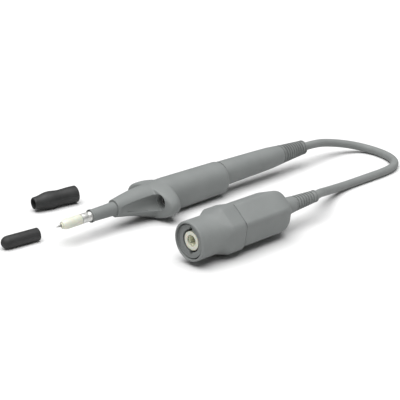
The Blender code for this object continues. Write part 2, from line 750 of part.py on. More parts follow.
def make_handle_boot(axis, boot_seat, boot_bore):
    """Ribbed bend relief at the handle's rear end."""
    ribs_end = HANDLE_REAR - BOOT_END_LENGTH
    outline = [(boot_seat + SEAT_GAP, CABLE_BORE), (boot_seat + SEAT_GAP, boot_bore - SEAT_GAP),
               (HANDLE_BOOT_FRONT, boot_bore - SEAT_GAP), (HANDLE_BOOT_FRONT, HANDLE_BOOT_FRONT_RADIUS)]
    outline += ribbed(HANDLE_BOOT_FRONT, ribs_end, HANDLE_BOOT_FRONT_RADIUS, HANDLE_BOOT_REAR_RADIUS,
                      HANDLE_BOOT_RIBS, HANDLE_RIB_DEPTH)
    outline += [(ribs_end, HANDLE_BOOT_REAR_RADIUS), (HANDLE_REAR - BOOT_END_ROUND, HANDLE_BOOT_REAR_RADIUS),
                (HANDLE_REAR, HANDLE_BOOT_REAR_RADIUS - BOOT_END_ROUND), (HANDLE_REAR, CABLE_BORE)]
    turned("handle_boot", outline, grey_rubber(), axis, TUBE_FACETS)


def make_crimp(name, axis, front):
    """Crimped ferrule that grips the cable's braid."""
    outline = tube(front, front + CRIMP_LENGTH, CRIMP_RADIUS, CABLE_BORE, SLIP)
    turned(name, outline, bright_metal(), axis, SMALL_FACETS)


def make_handle():
    """Everything on the handle's axis."""
    axis = empty("handle_axis", (HANDLE_X, HANDLE_Y, HANDLE_Z))
    head_end = make_needle(axis)
    make_needle_spring(axis, head_end)
    make_needle_barrel(axis)
    make_tip_insulator(axis)
    make_core_wire(axis)
    make_shield_tube(axis)
    make_nose_tube(axis)
    floor = make_housing(axis)
    make_lead_contact(axis, floor)
    make_divider(axis)
    boot_seat, boot_bore = make_tail(axis)
    make_handle_boot(axis, boot_seat, boot_bore)
    make_crimp("handle_crimp", axis, HANDLE_CRIMP_FRONT)


def route_point(before, start, end, after, share):
    """A point on the smooth curve between two route points."""
    square = share * share
    cube = square * share
    return 0.5 * (2 * start + (end - before) * share + (2 * before - 5 * start + 4 * end - after) * square
                  + (3 * start - before - 3 * end + after) * cube)


def cable_points():
    """The cable's centreline: out of the handle, round the loop and into the plug, evenly spaced."""
    in_handle = (HANDLE_CRIMP_FRONT, (HANDLE_CRIMP_FRONT + HANDLE_REAR) / 2, HANDLE_REAR)
    in_plug = (PLUG_REAR, (PLUG_REAR + PLUG_CRIMP_FRONT) / 2, PLUG_CRIMP_FRONT)
    route = [Vector((HANDLE_X + along, HANDLE_Y, HANDLE_Z)) for along in in_handle]
    route += [Vector(place) for place in CABLE_ROUTE]
    route += [Vector((PLUG_X + along, PLUG_Y, PLUG_Z)) for along in in_plug]
    padded = [2 * route[0] - route[1]] + route + [2 * route[-1] - route[-2]]
    fine = []
    for i in range(1, len(padded) - 2):
        fine += [route_point(*padded[i - 1:i + 3], step / 16) for step in range(16)]
    fine.append(route[-1])
    travelled = [0.0]
    for first, second in zip(fine, fine[1:]):
        travelled.append(travelled[-1] + (second - first).length)
    count = round(travelled[-1] / CABLE_STEP)
    points = []
    for i in range(count + 1):
        target = travelled[-1] * i / count
        nearest = min(range(len(fine)), key=lambda index: abs(travelled[index] - target))
        points.append(fine[nearest])
    return points


def make_cable():
    """Coaxial cable from the handle to the plug."""
    swept("cable", cable_points(), CABLE_DIAMETER / 2, grey_rubber(), None)


def make_coupling_sleeve(axis):
    """Turning sleeve: a round shroud that flares into a hexagonal grip."""
    depth = SHROUD_DEPTH
    shroud_bore = SHROUD_RADIUS - SHROUD_WALL
    ring_bore = BAYONET_OUTER + SEAT_GAP
    neck_bore = PLUG_NECK_RADIUS + SEAT_GAP
    ring_end = PLUG_NECK_FRONT - SEAT_GAP
    rings = [circle(0.0, SHROUD_RADIUS - SHROUD_EDGE),
             circle(SHROUD_EDGE * 0.4, SHROUD_RADIUS - SHROUD_EDGE * 0.3),
             circle(SHROUD_EDGE, SHROUD_RADIUS),
             circle(SHROUD_LENGTH, SHROUD_RADIUS)]
    for share in (0.35, 0.7):
        flat = SHROUD_RADIUS + (GRIP_RING_FLAT - SHROUD_RADIUS) * share
        rounding = SHROUD_RADIUS + (GRIP_RING_ROUND - SHROUD_RADIUS) * share
        rings.append(rounded_hexagon(SHROUD_LENGTH + FLARE_LENGTH * share, flat, rounding))
    rings += [rounded_hexagon(FLARE_REAR, GRIP_RING_FLAT, GRIP_RING_ROUND),
              rounded_hexagon(GRIP_RING_REAR - GRIP_RING_CHAMFER * 1.6, GRIP_RING_FLAT, GRIP_RING_ROUND),
              rounded_hexagon(GRIP_RING_REAR, GRIP_RING_FLAT - GRIP_RING_CHAMFER, GRIP_RING_ROUND)]
    rings += [circle(GRIP_RING_REAR, neck_bore), circle(ring_end, neck_bore), circle(ring_end, ring_bore),
              circle(depth, ring_bore), circle(depth, shroud_bore), circle(0.0, shroud_bore)]
    lofted("coupling_sleeve", rings, grey_plastic(), axis, closed=True)


def slot_path(turn):
    """Centreline of one bayonet slot: straight in from the front, then along a helix to its end."""
    radius = BAYONET_BORE + SLOT_DEPTH - SLOT_RADIUS
    start = BAYONET_FRONT + SLOT_ENTRY
    points = [(BAYONET_FRONT - SLOT_RADIUS, radius * math.cos(turn), radius * math.sin(turn))]
    for i in range(SLOT_STEPS + 1):
        angle = turn + math.radians(SLOT_TURN) * i / SLOT_STEPS
        along = start + SLOT_RISE * i / SLOT_STEPS
        points.append((along, radius * math.cos(angle), radius * math.sin(angle)))
    return points


def make_bayonet_ring(axis):
    """Ring inside the sleeve with two helical slots that draw it onto a jack's studs."""
    rear = BAYONET_FRONT + BAYONET_LENGTH
    lip = rear - BAYONET_LIP
    outline = [(BAYONET_FRONT, BAYONET_BORE), (BAYONET_FRONT, BAYONET_OUTER - SLIP),
               (BAYONET_FRONT + SLIP, BAYONET_OUTER), (rear, BAYONET_OUTER), (rear, BAYONET_BORE),
               (lip, BAYONET_BORE), (lip, BAYONET_POCKET_RADIUS),
               (BAYONET_POCKET_FRONT, BAYONET_POCKET_RADIUS), (BAYONET_POCKET_FRONT, BAYONET_BORE)]
    ring = turned("bayonet_ring", outline, grey_plastic(), axis)
    slots = []
    for i in range(2):
        turn = math.radians(90 + 180 * i)
        slots.append(swept("slot_cutter_%d" % i, slot_path(turn), SLOT_RADIUS, grey_plastic(), axis,
                           collection="cutters"))
    combine(ring, slots)
    return lip


def make_core(axis, lip):
    """Fixed metal core of the plug, with the flange, clip and washer that hold the turning ring."""
    flange_rear = CORE_FLANGE_FRONT + CORE_FLANGE_LENGTH
    rear = CORE_FRONT + CORE_LENGTH
    seat = WHITE_TUBE_FRONT + WHITE_TUBE_LENGTH + SEAT_GAP
    bore = CORE_RADIUS - CORE_WALL
    outline = [(CORE_FRONT, bore), (CORE_FRONT, CORE_RADIUS), (CORE_FLANGE_FRONT, CORE_RADIUS),
               (CORE_FLANGE_FRONT, CORE_FLANGE_RADIUS), (flange_rear, CORE_FLANGE_RADIUS),
               (flange_rear, CORE_REAR_RADIUS), (rear, CORE_REAR_RADIUS), (rear, CORE_REAR_BORE),
               (seat, CORE_REAR_BORE), (seat, bore)]
    turned("plug_core", outline, bright_metal(), axis, TUBE_FACETS)
    gasket_front = CORE_FRONT - GASKET_THICKNESS - SEAT_GAP
    turned("mating_gasket", tube(gasket_front, CORE_FRONT - SEAT_GAP, CORE_RADIUS, WHITE_TUBE_RADIUS + SLIP),
           black_rubber(), axis, TUBE_FACETS)
    clip_rear = lip - SEAT_GAP
    make_clip(axis, clip_rear - CLIP_THICKNESS, clip_rear, CORE_RADIUS + SLIP)
    make_wave_washer(axis, (BAYONET_FRONT + BAYONET_LENGTH + CORE_FLANGE_FRONT) / 2)


def make_clip(axis, front, rear, inner):
    """Open spring ring in front of the bayonet ring's lip."""
    rings = []
    for i in range(CLIP_STEPS + 1):
        angle = math.radians(CLIP_OPENING / 2 + (360 - CLIP_OPENING) * i / CLIP_STEPS - 90)
        outer = inner + CLIP_HEIGHT
        rings.append([(along, radius * math.cos(angle), radius * math.sin(angle))
                      for along, radius in ((front, inner), (front, outer), (rear, outer), (rear, inner))])
    lofted("retaining_clip", rings, bright_metal(), axis)


def make_wave_washer(axis, middle):
    """Thin washer bent into waves between the bayonet ring and the flange."""
    inner = CORE_RADIUS + SEAT_GAP
    outer = CORE_FLANGE_RADIUS
    rings = []
    for i in range(TUBE_FACETS):
        angle = 2 * math.pi * i / TUBE_FACETS
        along = middle + WASHER_WAVE * math.sin(WASHER_WAVES * angle)
        half = WASHER_THICKNESS / 2
        section = ((along - half, inner), (along - half, outer), (along + half, outer), (along + half, inner))
        rings.append([(place, radius * math.cos(angle), radius * math.sin(angle))
                      for place, radius in section])
    lofted("wave_washer", rings, bright_metal(), axis, closed=True)


def make_contacts(axis):
    """White tube, slotted outer contact, bead and centre pin."""
    front = WHITE_TUBE_FRONT
    rear = front + WHITE_TUBE_LENGTH
    outline = [(front, WHITE_TUBE_BORE), (front, WHITE_TUBE_RADIUS - 2 * SLIP),
               (front + 2 * SLIP, WHITE_TUBE_RADIUS), (rear, WHITE_TUBE_RADIUS), (rear, WHITE_TUBE_BORE)]
    turned("white_tube", outline, white_plastic(), axis, FACETS)
    contact_front = front + CONTACT_RECESS
    contact_rear = contact_front + CONTACT_LENGTH
    contact = turned("outer_contact", tube(contact_front, contact_rear, WHITE_TUBE_BORE - SLIP, CONTACT_BORE),
                     brass(), axis, TUBE_FACETS)
    slits = []
    for i in range(2):
        slit = box("slit_cutter_%d" % i, (CONTACT_LENGTH, CONTACT_SLOT, 3 * WHITE_TUBE_BORE),
                   (contact_front, 0.0, 0.0), brass(), axis, "cutters")
        slit.rotation_euler = (math.radians(45 + 90 * i), 0.0, 0.0)
        slits.append(slit)
    combine(contact, slits)
    bead_rear = contact_rear + SEAT_GAP + BEAD_LENGTH
    turned("centre_bead", tube(contact_rear + SEAT_GAP, bead_rear, WHITE_TUBE_BORE - SLIP, PIN_RADIUS + SLIP),
           white_plastic(), axis, TUBE_FACETS)
    pin_rear = PIN_TIP + PIN_LENGTH
    turned("centre_pin", [(PIN_TIP, 0.0), (PIN_TIP, PIN_RADIUS * 0.35), (PIN_TIP + PIN_RADIUS, PIN_RADIUS),
                          (pin_rear, PIN_RADIUS), (pin_rear, 0.0)], brass(), axis, SMALL_FACETS)


def make_plug_body(axis):
    """Fixed hexagonal shell behind the grip, with a neck inside the sleeve and a rounded shoulder."""
    boot_bore = PLUG_BOOT_ROOT_RADIUS + SEAT_GAP
    boot_seat = PLUG_BODY_REAR - PLUG_BOOT_SPIGOT
    bore_end = CORE_FRONT + CORE_LENGTH + 3 * SEAT_GAP
    rings = [circle(PLUG_NECK_FRONT, PLUG_NECK_RADIUS), circle(PLUG_BODY_FRONT, PLUG_NECK_RADIUS),
             rounded_hexagon(PLUG_BODY_FRONT, PLUG_BODY_FLAT - PLUG_BODY_EDGE, PLUG_BODY_ROUND),
             rounded_hexagon(PLUG_BODY_FRONT + PLUG_BODY_EDGE, PLUG_BODY_FLAT, PLUG_BODY_ROUND),
             rounded_hexagon(PLUG_BODY_REAR - PLUG_SHOULDER, PLUG_BODY_FLAT, PLUG_BODY_ROUND)]
    end_radius = PLUG_BOOT_ROOT_RADIUS + PLUG_END_WALL
    for turn in (24, 46, 66, 86):
        fall = 1 - math.cos(math.radians(turn))
        flat = PLUG_BODY_FLAT - (PLUG_BODY_FLAT - end_radius) * fall
        rounding = PLUG_BODY_ROUND + (end_radius - PLUG_BODY_ROUND) * fall
        along = PLUG_BODY_REAR - PLUG_SHOULDER * (1 - math.sin(math.radians(turn)))
        rings.append(rounded_hexagon(along, flat, rounding))
    rings += [circle(PLUG_BODY_REAR, end_radius), circle(PLUG_BODY_REAR, boot_bore),
              circle(boot_seat, boot_bore), circle(boot_seat, CRIMP_RADIUS + SEAT_GAP),
              circle(bore_end, CRIMP_RADIUS + SEAT_GAP),
              circle(bore_end, PLUG_BORE), circle(PLUG_NECK_FRONT, PLUG_BORE)]
    lofted("plug_body", rings, grey_plastic(), axis, closed=True)
    return boot_seat


def make_plug_boot(axis, boot_seat):
    """Smooth root and ribbed bend relief behind the plug."""
    ribs_front = PLUG_BOOT_FRONT + PLUG_BOOT_SMOOTH
    ribs_end = PLUG_REAR - BOOT_END_LENGTH
    root = PLUG_BOOT_ROOT_RADIUS
    outline = [(boot_seat + SEAT_GAP, CABLE_BORE), (boot_seat + SEAT_GAP, root),
               (PLUG_BOOT_FRONT + PLUG_BOOT_SMOOTH * 0.12, root),
               (PLUG_BOOT_FRONT + PLUG_BOOT_SMOOTH * 0.4, (root + PLUG_BOOT_MIDDLE_RADIUS) / 2),
               (ribs_front, PLUG_BOOT_MIDDLE_RADIUS)]
    outline += ribbed(ribs_front, ribs_end, PLUG_BOOT_MIDDLE_RADIUS, PLUG_BOOT_REAR_RADIUS, PLUG_BOOT_RIBS,
                      PLUG_RIB_DEPTH)
    outline += [(ribs_end, PLUG_BOOT_REAR_RADIUS), (PLUG_REAR, PLUG_BOOT_REAR_RADIUS - PLUG_RIB_DEPTH / 2),
                (PLUG_REAR, CABLE_BORE)]
    turned("plug_boot", outline, grey_rubber(), axis, TUBE_FACETS)


def make_plug():
    """Everything on the plug's axis."""
    axis = empty("plug_axis", (PLUG_X, PLUG_Y, PLUG_Z))
    make_coupling_sleeve(axis)
    lip = make_bayonet_ring(axis)
    make_core(axis, lip)
    make_contacts(axis)
    boot_seat = make_plug_body(axis)
    make_plug_boot(axis, boot_seat)
    make_crimp("plug_crimp", axis, PLUG_CRIMP_FRONT)


def make_tip_cap():
    """Closed rubber cover with a domed end."""
    axis = empty("cap_axis", (CAP_X, CAP_Y, CAP_RADIUS), CAP_TURN)
    outline = [(0.0, 0.0)]
    for turn in (18, 40, 62, 90):
        angle = math.radians(turn)
        outline.append((CAP_DOME * (1 - math.cos(angle)), CAP_RADIUS * math.sin(angle)))
    outline += [(CAP_LENGTH - 2 * SEAT_GAP, CAP_RADIUS), (CAP_LENGTH, CAP_RADIUS - 2 * SLIP),
                (CAP_LENGTH, CAP_BORE), (CAP_END, CAP_BORE), (CAP_END - CAP_BORE / 2, 0.0)]
    turned("tip_cap", outline, black_rubber(), axis, TUBE_FACETS)


def make_tip_sleeve():
    """Open rubber cover that slips over the nose, bulging near its narrow mouth."""
    axis = empty("sleeve_axis", (SLEEVE_X, SLEEVE_Y, SLEEVE_BULGE_RADIUS), SLEEVE_TURN)
    rear = SLEEVE_LENGTH - SLEEVE_RIM_ROUND
    stations = [(SLEEVE_RIM_ROUND, SLEEVE_FRONT_RADIUS), (SLEEVE_LENGTH * 0.36, SLEEVE_BULGE_RADIUS),
                (SLEEVE_LENGTH * 0.60, SLEEVE_WAIST_RADIUS), (SLEEVE_LENGTH * 0.86, SLEEVE_REAR_RADIUS)]
    outline = [(0.0, SLEEVE_FRONT_BORE), (0.0, SLEEVE_FRONT_RADIUS - SLEEVE_RIM_ROUND / 2)]
    for (start, first), (end, last) in zip(stations, stations[1:]):
        for share in (0.0, 0.33, 0.67):
            swell = (1 - math.cos(math.pi * share)) / 2
            outline.append((start + (end - start) * share, first + (last - first) * swell))
    outline += [stations[-1], (rear, SLEEVE_REAR_RADIUS),
                (SLEEVE_LENGTH, SLEEVE_REAR_RADIUS - SLEEVE_RIM_ROUND),
                (SLEEVE_LENGTH, SLEEVE_REAR_BORE), (SLEEVE_STEP, SLEEVE_REAR_BORE),
                (SLEEVE_STEP - SLEEVE_STEP_TAPER, SLEEVE_FRONT_BORE)]
    turned("tip_sleeve", outline, black_rubber(), axis, TUBE_FACETS)


def build():
    """Makes the whole object."""
    clear_scene()
    make_handle()
    make_cable()
    make_plug()
    make_tip_cap()
    make_tip_sleeve()


build()
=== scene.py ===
"""Looks of the test probe with a BNC plug: camera, light, floor, cable, finishes and finely turned shells."""
import json
import math

import bmesh
import bpy
from mathutils import Matrix, Vector

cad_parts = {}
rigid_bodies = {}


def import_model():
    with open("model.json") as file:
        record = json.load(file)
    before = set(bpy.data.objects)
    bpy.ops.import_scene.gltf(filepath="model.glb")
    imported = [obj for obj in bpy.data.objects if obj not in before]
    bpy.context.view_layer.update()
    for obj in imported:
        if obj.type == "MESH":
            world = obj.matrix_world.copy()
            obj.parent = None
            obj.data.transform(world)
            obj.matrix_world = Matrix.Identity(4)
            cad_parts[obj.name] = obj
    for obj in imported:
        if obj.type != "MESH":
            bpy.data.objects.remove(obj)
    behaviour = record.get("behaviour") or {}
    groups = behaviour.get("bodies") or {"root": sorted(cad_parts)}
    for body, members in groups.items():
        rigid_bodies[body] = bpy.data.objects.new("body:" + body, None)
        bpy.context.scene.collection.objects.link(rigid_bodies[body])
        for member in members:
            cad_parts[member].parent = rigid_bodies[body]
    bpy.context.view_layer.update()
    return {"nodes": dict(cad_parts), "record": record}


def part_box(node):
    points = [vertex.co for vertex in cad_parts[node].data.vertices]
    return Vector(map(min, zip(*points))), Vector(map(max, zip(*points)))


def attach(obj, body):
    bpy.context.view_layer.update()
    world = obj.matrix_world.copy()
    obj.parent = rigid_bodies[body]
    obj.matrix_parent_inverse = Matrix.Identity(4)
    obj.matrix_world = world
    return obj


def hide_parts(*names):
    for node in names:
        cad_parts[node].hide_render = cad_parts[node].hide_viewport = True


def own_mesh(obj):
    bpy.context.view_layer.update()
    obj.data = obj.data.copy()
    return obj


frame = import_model()

# Camera, as the photograph was taken
LENS = 112.5
SENSOR = 36.0
CAMERA_PLACE = (-0.3487, -0.4087, 0.2116)
CAMERA_DOWN = 21.5
CAMERA_TURN = -42.7
CAMERA_NEAR = 0.01

# Light and floor
SUN_STRENGTH = 4.9
SUN_SOFTNESS = 72.0
SUN_TILT = (3.0, -9.0)
SKY = 0.15
FLOOR_SIZE = 6.0
FLOOR_WHITE = 0.68
FLOOR_ROUGHNESS = 0.9

# Finishes: name, two near colours, blotch size, roughness, grain size, grain depth and metallic share
LOOKS = {
    "grey_plastic": ("satin_grey_plastic", (0.180, 0.190, 0.187), (0.197, 0.208, 0.204),
                     0.012, 0.60, 0.00035, 0.00002, 0.0),
    "grey_rubber": ("grey_elastomer", (0.182, 0.191, 0.188), (0.206, 0.216, 0.212),
                    0.008, 0.64, 0.0003, 0.00002, 0.0),
    "black_rubber": ("black_elastomer", (0.012, 0.0125, 0.0125), (0.020, 0.0205, 0.0205),
                     0.006, 0.62, 0.0004, 0.000015, 0.0),
    "white_plastic": ("warm_white_polymer", (0.57, 0.58, 0.49), (0.65, 0.66, 0.57),
                      0.005, 0.42, 0.0005, 0.00001, 0.0),
    "bright_metal": ("bright_nickel", (0.60, 0.605, 0.59), (0.70, 0.70, 0.68),
                     0.003, 0.42, 0.0002, 0.000006, 0.7),
    "brass": ("gold_plated_brass", (0.84, 0.85, 0.66), (0.90, 0.90, 0.74),
              0.003, 0.45, 0.0002, 0.000006, 0.15),
    "green_board": ("solder_mask", (0.02, 0.10, 0.05), (0.03, 0.15, 0.07),
                    0.004, 0.35, 0.0003, 0.00001, 0.0),
}
# Darker nickel: on the cup in the lead socket it is painted shade of the dark hole; the needle gets it too
DARKER_NICKEL_PAINTED_SHADE = ("darker_nickel_painted_shade", (0.24, 0.24, 0.235), (0.36, 0.36, 0.35), 0.002, 0.42, 0.0002, 0.000006, 0.8)
MATT_SHINE = 0.35
WHITE_GLOW = 0.15
WHITE_GLOW_DEPTH = 0.0008
NOISE_DETAIL = 3.0
NOISE_ROUGHNESS = 0.55
BLOTCH_SPAN = (0.35, 0.65)
SMEAR_SPAN = (0.3, 0.7)
SMEAR_SIZE = 0.4
SMEAR_CHANGE = (-0.05, 0.06)
GRAIN_STRENGTH = 0.6

# Edges in the shading: how far they are rounded, and where and how strongly a painted highlight lightens them
SHADED_EDGE = 0.00012
SHADED_EDGE_SAMPLES = 4
EDGE_TURN = (0.80, 0.995)
PAINTED_HIGHLIGHT_STRENGTH = 0.55
PAINTED_HIGHLIGHT_LIGHTER = 1.5

# Facets, roundings and gaps of the fine shells
FINE = 96
MEDIUM = 64
POCKET_FACETS = 48
GROOVE_FACETS = 24
ROUND_STEPS = 3
ROUND_REACH = 0.45
BEND = 18.0
EDGE = 0.00025
CORNER_ANGLE = 34.0
MERGE_DISTANCE = 0.000002
SEAT_GAP = 0.0003
SLIP = 0.0001

# Cable: the same points as in the part
CABLE_DIAMETER = 0.0040
CABLE_HIDDEN = 0.0040
CABLE_STEPS = 6
CABLE_ROUND_STEPS = 8
CABLE_ROUTE = [
    (0.0920, -0.0138, 0.0093),
    (0.0985, -0.0136, 0.0085),
    (0.1052, -0.0139, 0.0071),
    (0.1114, -0.0150, 0.0056),
    (0.1168, -0.0172, 0.0042),
    (0.1209, -0.0206, 0.0030),
    (0.1231, -0.0256, 0.0023),
    (0.1233, -0.0322, 0.00205),
    (0.1216, -0.0391, 0.00205),
    (0.1177, -0.0453, 0.00205),
    (0.1112, -0.0493, 0.00205),
    (0.1026, -0.0506, 0.00205),
    (0.0935, -0.0506, 0.00205),
    (0.0850, -0.0505, 0.00205),
    (0.0768, -0.0506, 0.0022),
    (0.0686, -0.0518, 0.0031),
    (0.0598, -0.0545, 0.0049),
    (0.0506, -0.0586, 0.0075),
    (0.0440, -0.0622, 0.0097),
]

# Housing: cone, winged guard and grip
LIP_RADIUS = 0.00398
LIP_LENGTH = 0.0013
CONE_LENGTH = 0.0194
CONE_REAR_RADIUS = 0.0074
WING_REACH = 0.0157
WING_LENGTH = 0.0088
WING_HALF_HEIGHT = 0.0072
WING_PEAK = 0.37
WING_FRONT_POWER = 3.0
WING_REAR_POWER = 2.0
WING_BLEND = 0.0002
CONE_BLEND = 0.00002
LEAST_BLEND = 0.00001
WING_FILLET = 0.0022
WING_FILLET_FADE = 4
CONE_STEPS = 14
FILLET_STEPS = 8
GUARD_STEPS = 61
GUARD_HALF_HEIGHT = 0.0077
GUARD_DROP = 0.0018
GRIP_HALF_WIDTH = 0.0082
GRIP_HALF_HEIGHT = 0.00805
GRIP_DROP = 0.0015
GRIP_TAPER = 0.0004
GRIP_END_ROUND = 0.0016
GRIP_END_LIFT = 0.35
GRIP_POWER = 2.1
GRIP_STEPS = 12
CAVITY_RADIUS = 0.0051
CAVITY_DEPTH = 0.004
NOSE_CLEARANCE = 0.00004
NOSE_STEP = 0.00002

# Lead socket: trough, funnel and hole
LEAD_Y = -0.0079
LEAD_Z = -0.0001
LEAD_DEPTH = 0.0044
LEAD_TROUGH_RADIUS = 0.0042
LEAD_HOLE_RADIUS = 0.0030
LEAD_FUNNEL = 0.0030
LEAD_HOLE_DEPTH = 0.00315
LEAD_LEDGE = 0.0004
LEAD_GROOVE = ((0.0045, -0.0040, -0.0017), (0.0150, -0.0056, -0.0035))
LEAD_GROOVE_RADIUS = 0.00035

# Tail of the handle
TAIL_FRONT_RADIUS = 0.00595
TAIL_MIDDLE_RADIUS = 0.0055
TAIL_REAR_RADIUS = 0.0047
TAIL_TAPER = 0.0165
TAIL_END_TAPER = 0.0062
TAIL_FRONT_BORE = 0.0036
TAIL_REAR_BORE = 0.0037

# Nose tube, silver tube and white insulator at the tip
NOSE_RADIUS = 0.00305
NOSE_RIM_RADIUS = 0.00295
NOSE_RIM_LENGTH = 0.0009
NOSE_WAIST_RADIUS = 0.00272
NOSE_WAIST = 0.0015
NOSE_MOUTH = 0.0026
NOSE_MOUTH_DEPTH = 0.0012
NOSE_BORE = 0.00235
NOSE_ROUND = 0.00018
SHIELD_RADIUS = 0.0022
SHIELD_BORE = 0.00185
SHIELD_GROOVE_PLACE = 0.62
SHIELD_GROOVE_RADIUS = 0.00198
SHIELD_GROOVE_WIDTH = 0.0005
SHIELD_ROUND = 0.00012
TIP_RADIUS = 0.0023
TIP_BORE = 0.0011
TIP_MOUTH_RADIUS = 0.0015
TIP_CONE = ((0.00105, 0.00205), (0.0021, TIP_RADIUS))
TIP_STEM_RADIUS = 0.00175
TIP_ROUND = 0.0004

# Boots: radii of the root, the ribs' start and the end, and the necks' lengths and depths
HANDLE_BOOT_RADII = (0.0046, 0.0046, 0.0036)
HANDLE_BOOT_RIBS = 9
HANDLE_RIB_DEPTH = 0.0013
HANDLE_BOOT_SHOWN = 0.0029
HANDLE_BOOT_SMOOTH = 0.0012
HANDLE_BOOT_NECK = (0.0005, 0.0003)
PLUG_BOOT_RADII = (0.0042, 0.0036, 0.0028)
PLUG_BOOT_RIBS = 8
PLUG_RIB_DEPTH = 0.0006
PLUG_BOOT_SMOOTH = 0.0068
PLUG_BOOT_NECK = (0.0010, 0.0018)
PLUG_BOOT_GAP = 0.00009
BOOT_ROOT = 0.0030
BOOT_ROOT_RADIUS = 0.0034
BOOT_END_LENGTH = 0.0012

# One rib and its groove: shares of the pitch and of the groove's depth
RIB_PROFILE = ((0.0, 1.0), (0.04, 0.3), (0.14, 0.0), (0.36, 0.0), (0.46, 0.3), (0.50, 1.0))

# Plug: hexagons and shroud
HEX_TURN = 9.0
HEX_CORNER_STEPS = 16
SHROUD_RADIUS = 0.0086
SHROUD_WALL = 0.0010
SHROUD_DEPTH = 0.0095
SHROUD_LENGTH = 0.0117
SHROUD_EDGE = 0.0007
SHROUD_EDGE_STEPS = 6
SHROUD_LIP = 0.00015
RING_FLARE = 0.0006
RING_SET_BACK = 0.0007
FLARE_LENGTH = 0.0040
FLARE_STEPS = 8
FLARE_LEDGE = 0.0005
GRIP_RING_FLAT = 0.0100
GRIP_RING_ROUND = 0.0040
GRIP_RING_CHAMFER = 0.0009
CHAMFER_SLOPE = 1.6
CHAMFER_POWER = 1.6
CHAMFER_STEPS = 5
PLUG_BODY_FLAT = 0.00915
PLUG_BODY_ROUND = 0.0023
PLUG_BODY_EDGE = 0.00005
PLUG_BODY_EDGE_STEPS = 4
PLUG_SHOULDER = 0.0085
SHOULDER_STEPS = 16
SHOULDER_SWEEP = 88.0
PLUG_END_WALL = 0.0009
PLUG_NECK_RADIUS = 0.0070
PLUG_BORE = 0.0059
PLUG_THROAT_RADIUS = 0.0040
PLUG_THROAT = (0.004, 0.014)
INSULATOR_RADIUS = 0.0041
INSULATOR_BORE = 0.0028
INSULATOR_LIP = 0.0006
INSULATOR_LIP_BORE = 0.0025
INSULATOR_ROUND = 0.00024

# Loose covers
CAP_LENGTH = 0.0177
CAP_RADIUS = 0.00285
CAP_BORE = 0.0024
CAP_DOME = 0.0033
CAP_DOME_STEPS = 12
CAP_END = 0.0034
CAP_TURN = -5.2
SLEEVE_LENGTH = 0.0219
SLEEVE_TURN = -7.9
SLEEVE_RADII = (0.0029, 0.00405, 0.00365, 0.0039)
SLEEVE_STATIONS = (0.36, 0.60, 0.86)
SLEEVE_SWELL_STEPS = 8
SLEEVE_BORES = (0.0023, 0.0031)
SLEEVE_RIM_ROUND = 0.0006
SLEEVE_STEP = 0.0090
SLEEVE_STEP_TAPER = 0.0012


def axis_of(node):
    """(Y, Z) of a round piece's axis along X."""
    low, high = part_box(node)
    return (low[1] + high[1]) / 2, (low[2] + high[2]) / 2


def reach(node):
    """(front X, rear X) of a node."""
    low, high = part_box(node)
    return low[0], high[0]


HANDLE_AXIS = axis_of("tail_housing")
PLUG_AXIS = axis_of("plug_core")


def node_tree(name):
    """A new material, its tree and its shader."""
    made = bpy.data.materials.new(name)
    made.use_nodes = True
    tree = made.node_tree
    shader = tree.nodes["Principled BSDF"]
    return made, tree, shader


def noise(tree, coordinates, size):
    """A noise whose blotches are about size metres across."""
    texture = tree.nodes.new("ShaderNodeTexNoise")
    texture.inputs["Scale"].default_value = 1.0 / size
    texture.inputs["Detail"].default_value = NOISE_DETAIL
    texture.inputs["Roughness"].default_value = NOISE_ROUGHNESS
    tree.links.new(coordinates.outputs["Object"], texture.inputs["Vector"])
    return texture


def blend_colours(tree, factor, low, high):
    """Colour that runs from low to high over the middle of a noise."""
    ramp = tree.nodes.new("ShaderNodeValToRGB")
    for element, position, colour in zip(ramp.color_ramp.elements, BLOTCH_SPAN, (low, high)):
        element.position = position
        element.color = (*colour, 1.0)
    tree.links.new(factor, ramp.inputs["Fac"])
    return ramp.outputs["Color"]


def spread(tree, factor, low, high):
    """Value that runs from low to high over the middle of a noise."""
    ranged = tree.nodes.new("ShaderNodeMapRange")
    ranged.inputs["From Min"].default_value = SMEAR_SPAN[0]
    ranged.inputs["From Max"].default_value = SMEAR_SPAN[1]
    ranged.inputs["To Min"].default_value = low
    ranged.inputs["To Max"].default_value = high
    tree.links.new(factor, ranged.inputs["Value"])
    return ranged.outputs["Result"]


def rounding(tree):
    """Softly rounded edges, for the shading only."""
    rounded = tree.nodes.new("ShaderNodeBevel")
    rounded.inputs["Radius"].default_value = SHADED_EDGE
    rounded.samples = SHADED_EDGE_SAMPLES
    return rounded


def paint_edge_highlight(tree, rounded, colour, highlight_colour):
    """The colour, with a highlight painted lighter where the surface turns over an edge."""
    turn = tree.nodes.new("ShaderNodeVectorMath")
    turn.operation = "DOT_PRODUCT"
    tree.links.new(rounded.outputs["Normal"], turn.inputs[0])
    tree.links.new(tree.nodes.new("ShaderNodeNewGeometry").outputs["Normal"], turn.inputs[1])
    edge = tree.nodes.new("ShaderNodeMapRange")
    edge.inputs["From Min"].default_value = EDGE_TURN[0]
    edge.inputs["From Max"].default_value = EDGE_TURN[1]
    edge.inputs["To Min"].default_value = PAINTED_HIGHLIGHT_STRENGTH
    edge.inputs["To Max"].default_value = 0.0
    tree.links.new(turn.outputs["Value"], edge.inputs["Value"])
    mixed = tree.nodes.new("ShaderNodeMix")
    mixed.data_type = "RGBA"
    tree.links.new(edge.outputs["Result"], mixed.inputs["Factor"])
    tree.links.new(colour, mixed.inputs["A"])
    mixed.inputs["B"].default_value = (*highlight_colour, 1.0)
    return mixed.outputs["Result"]


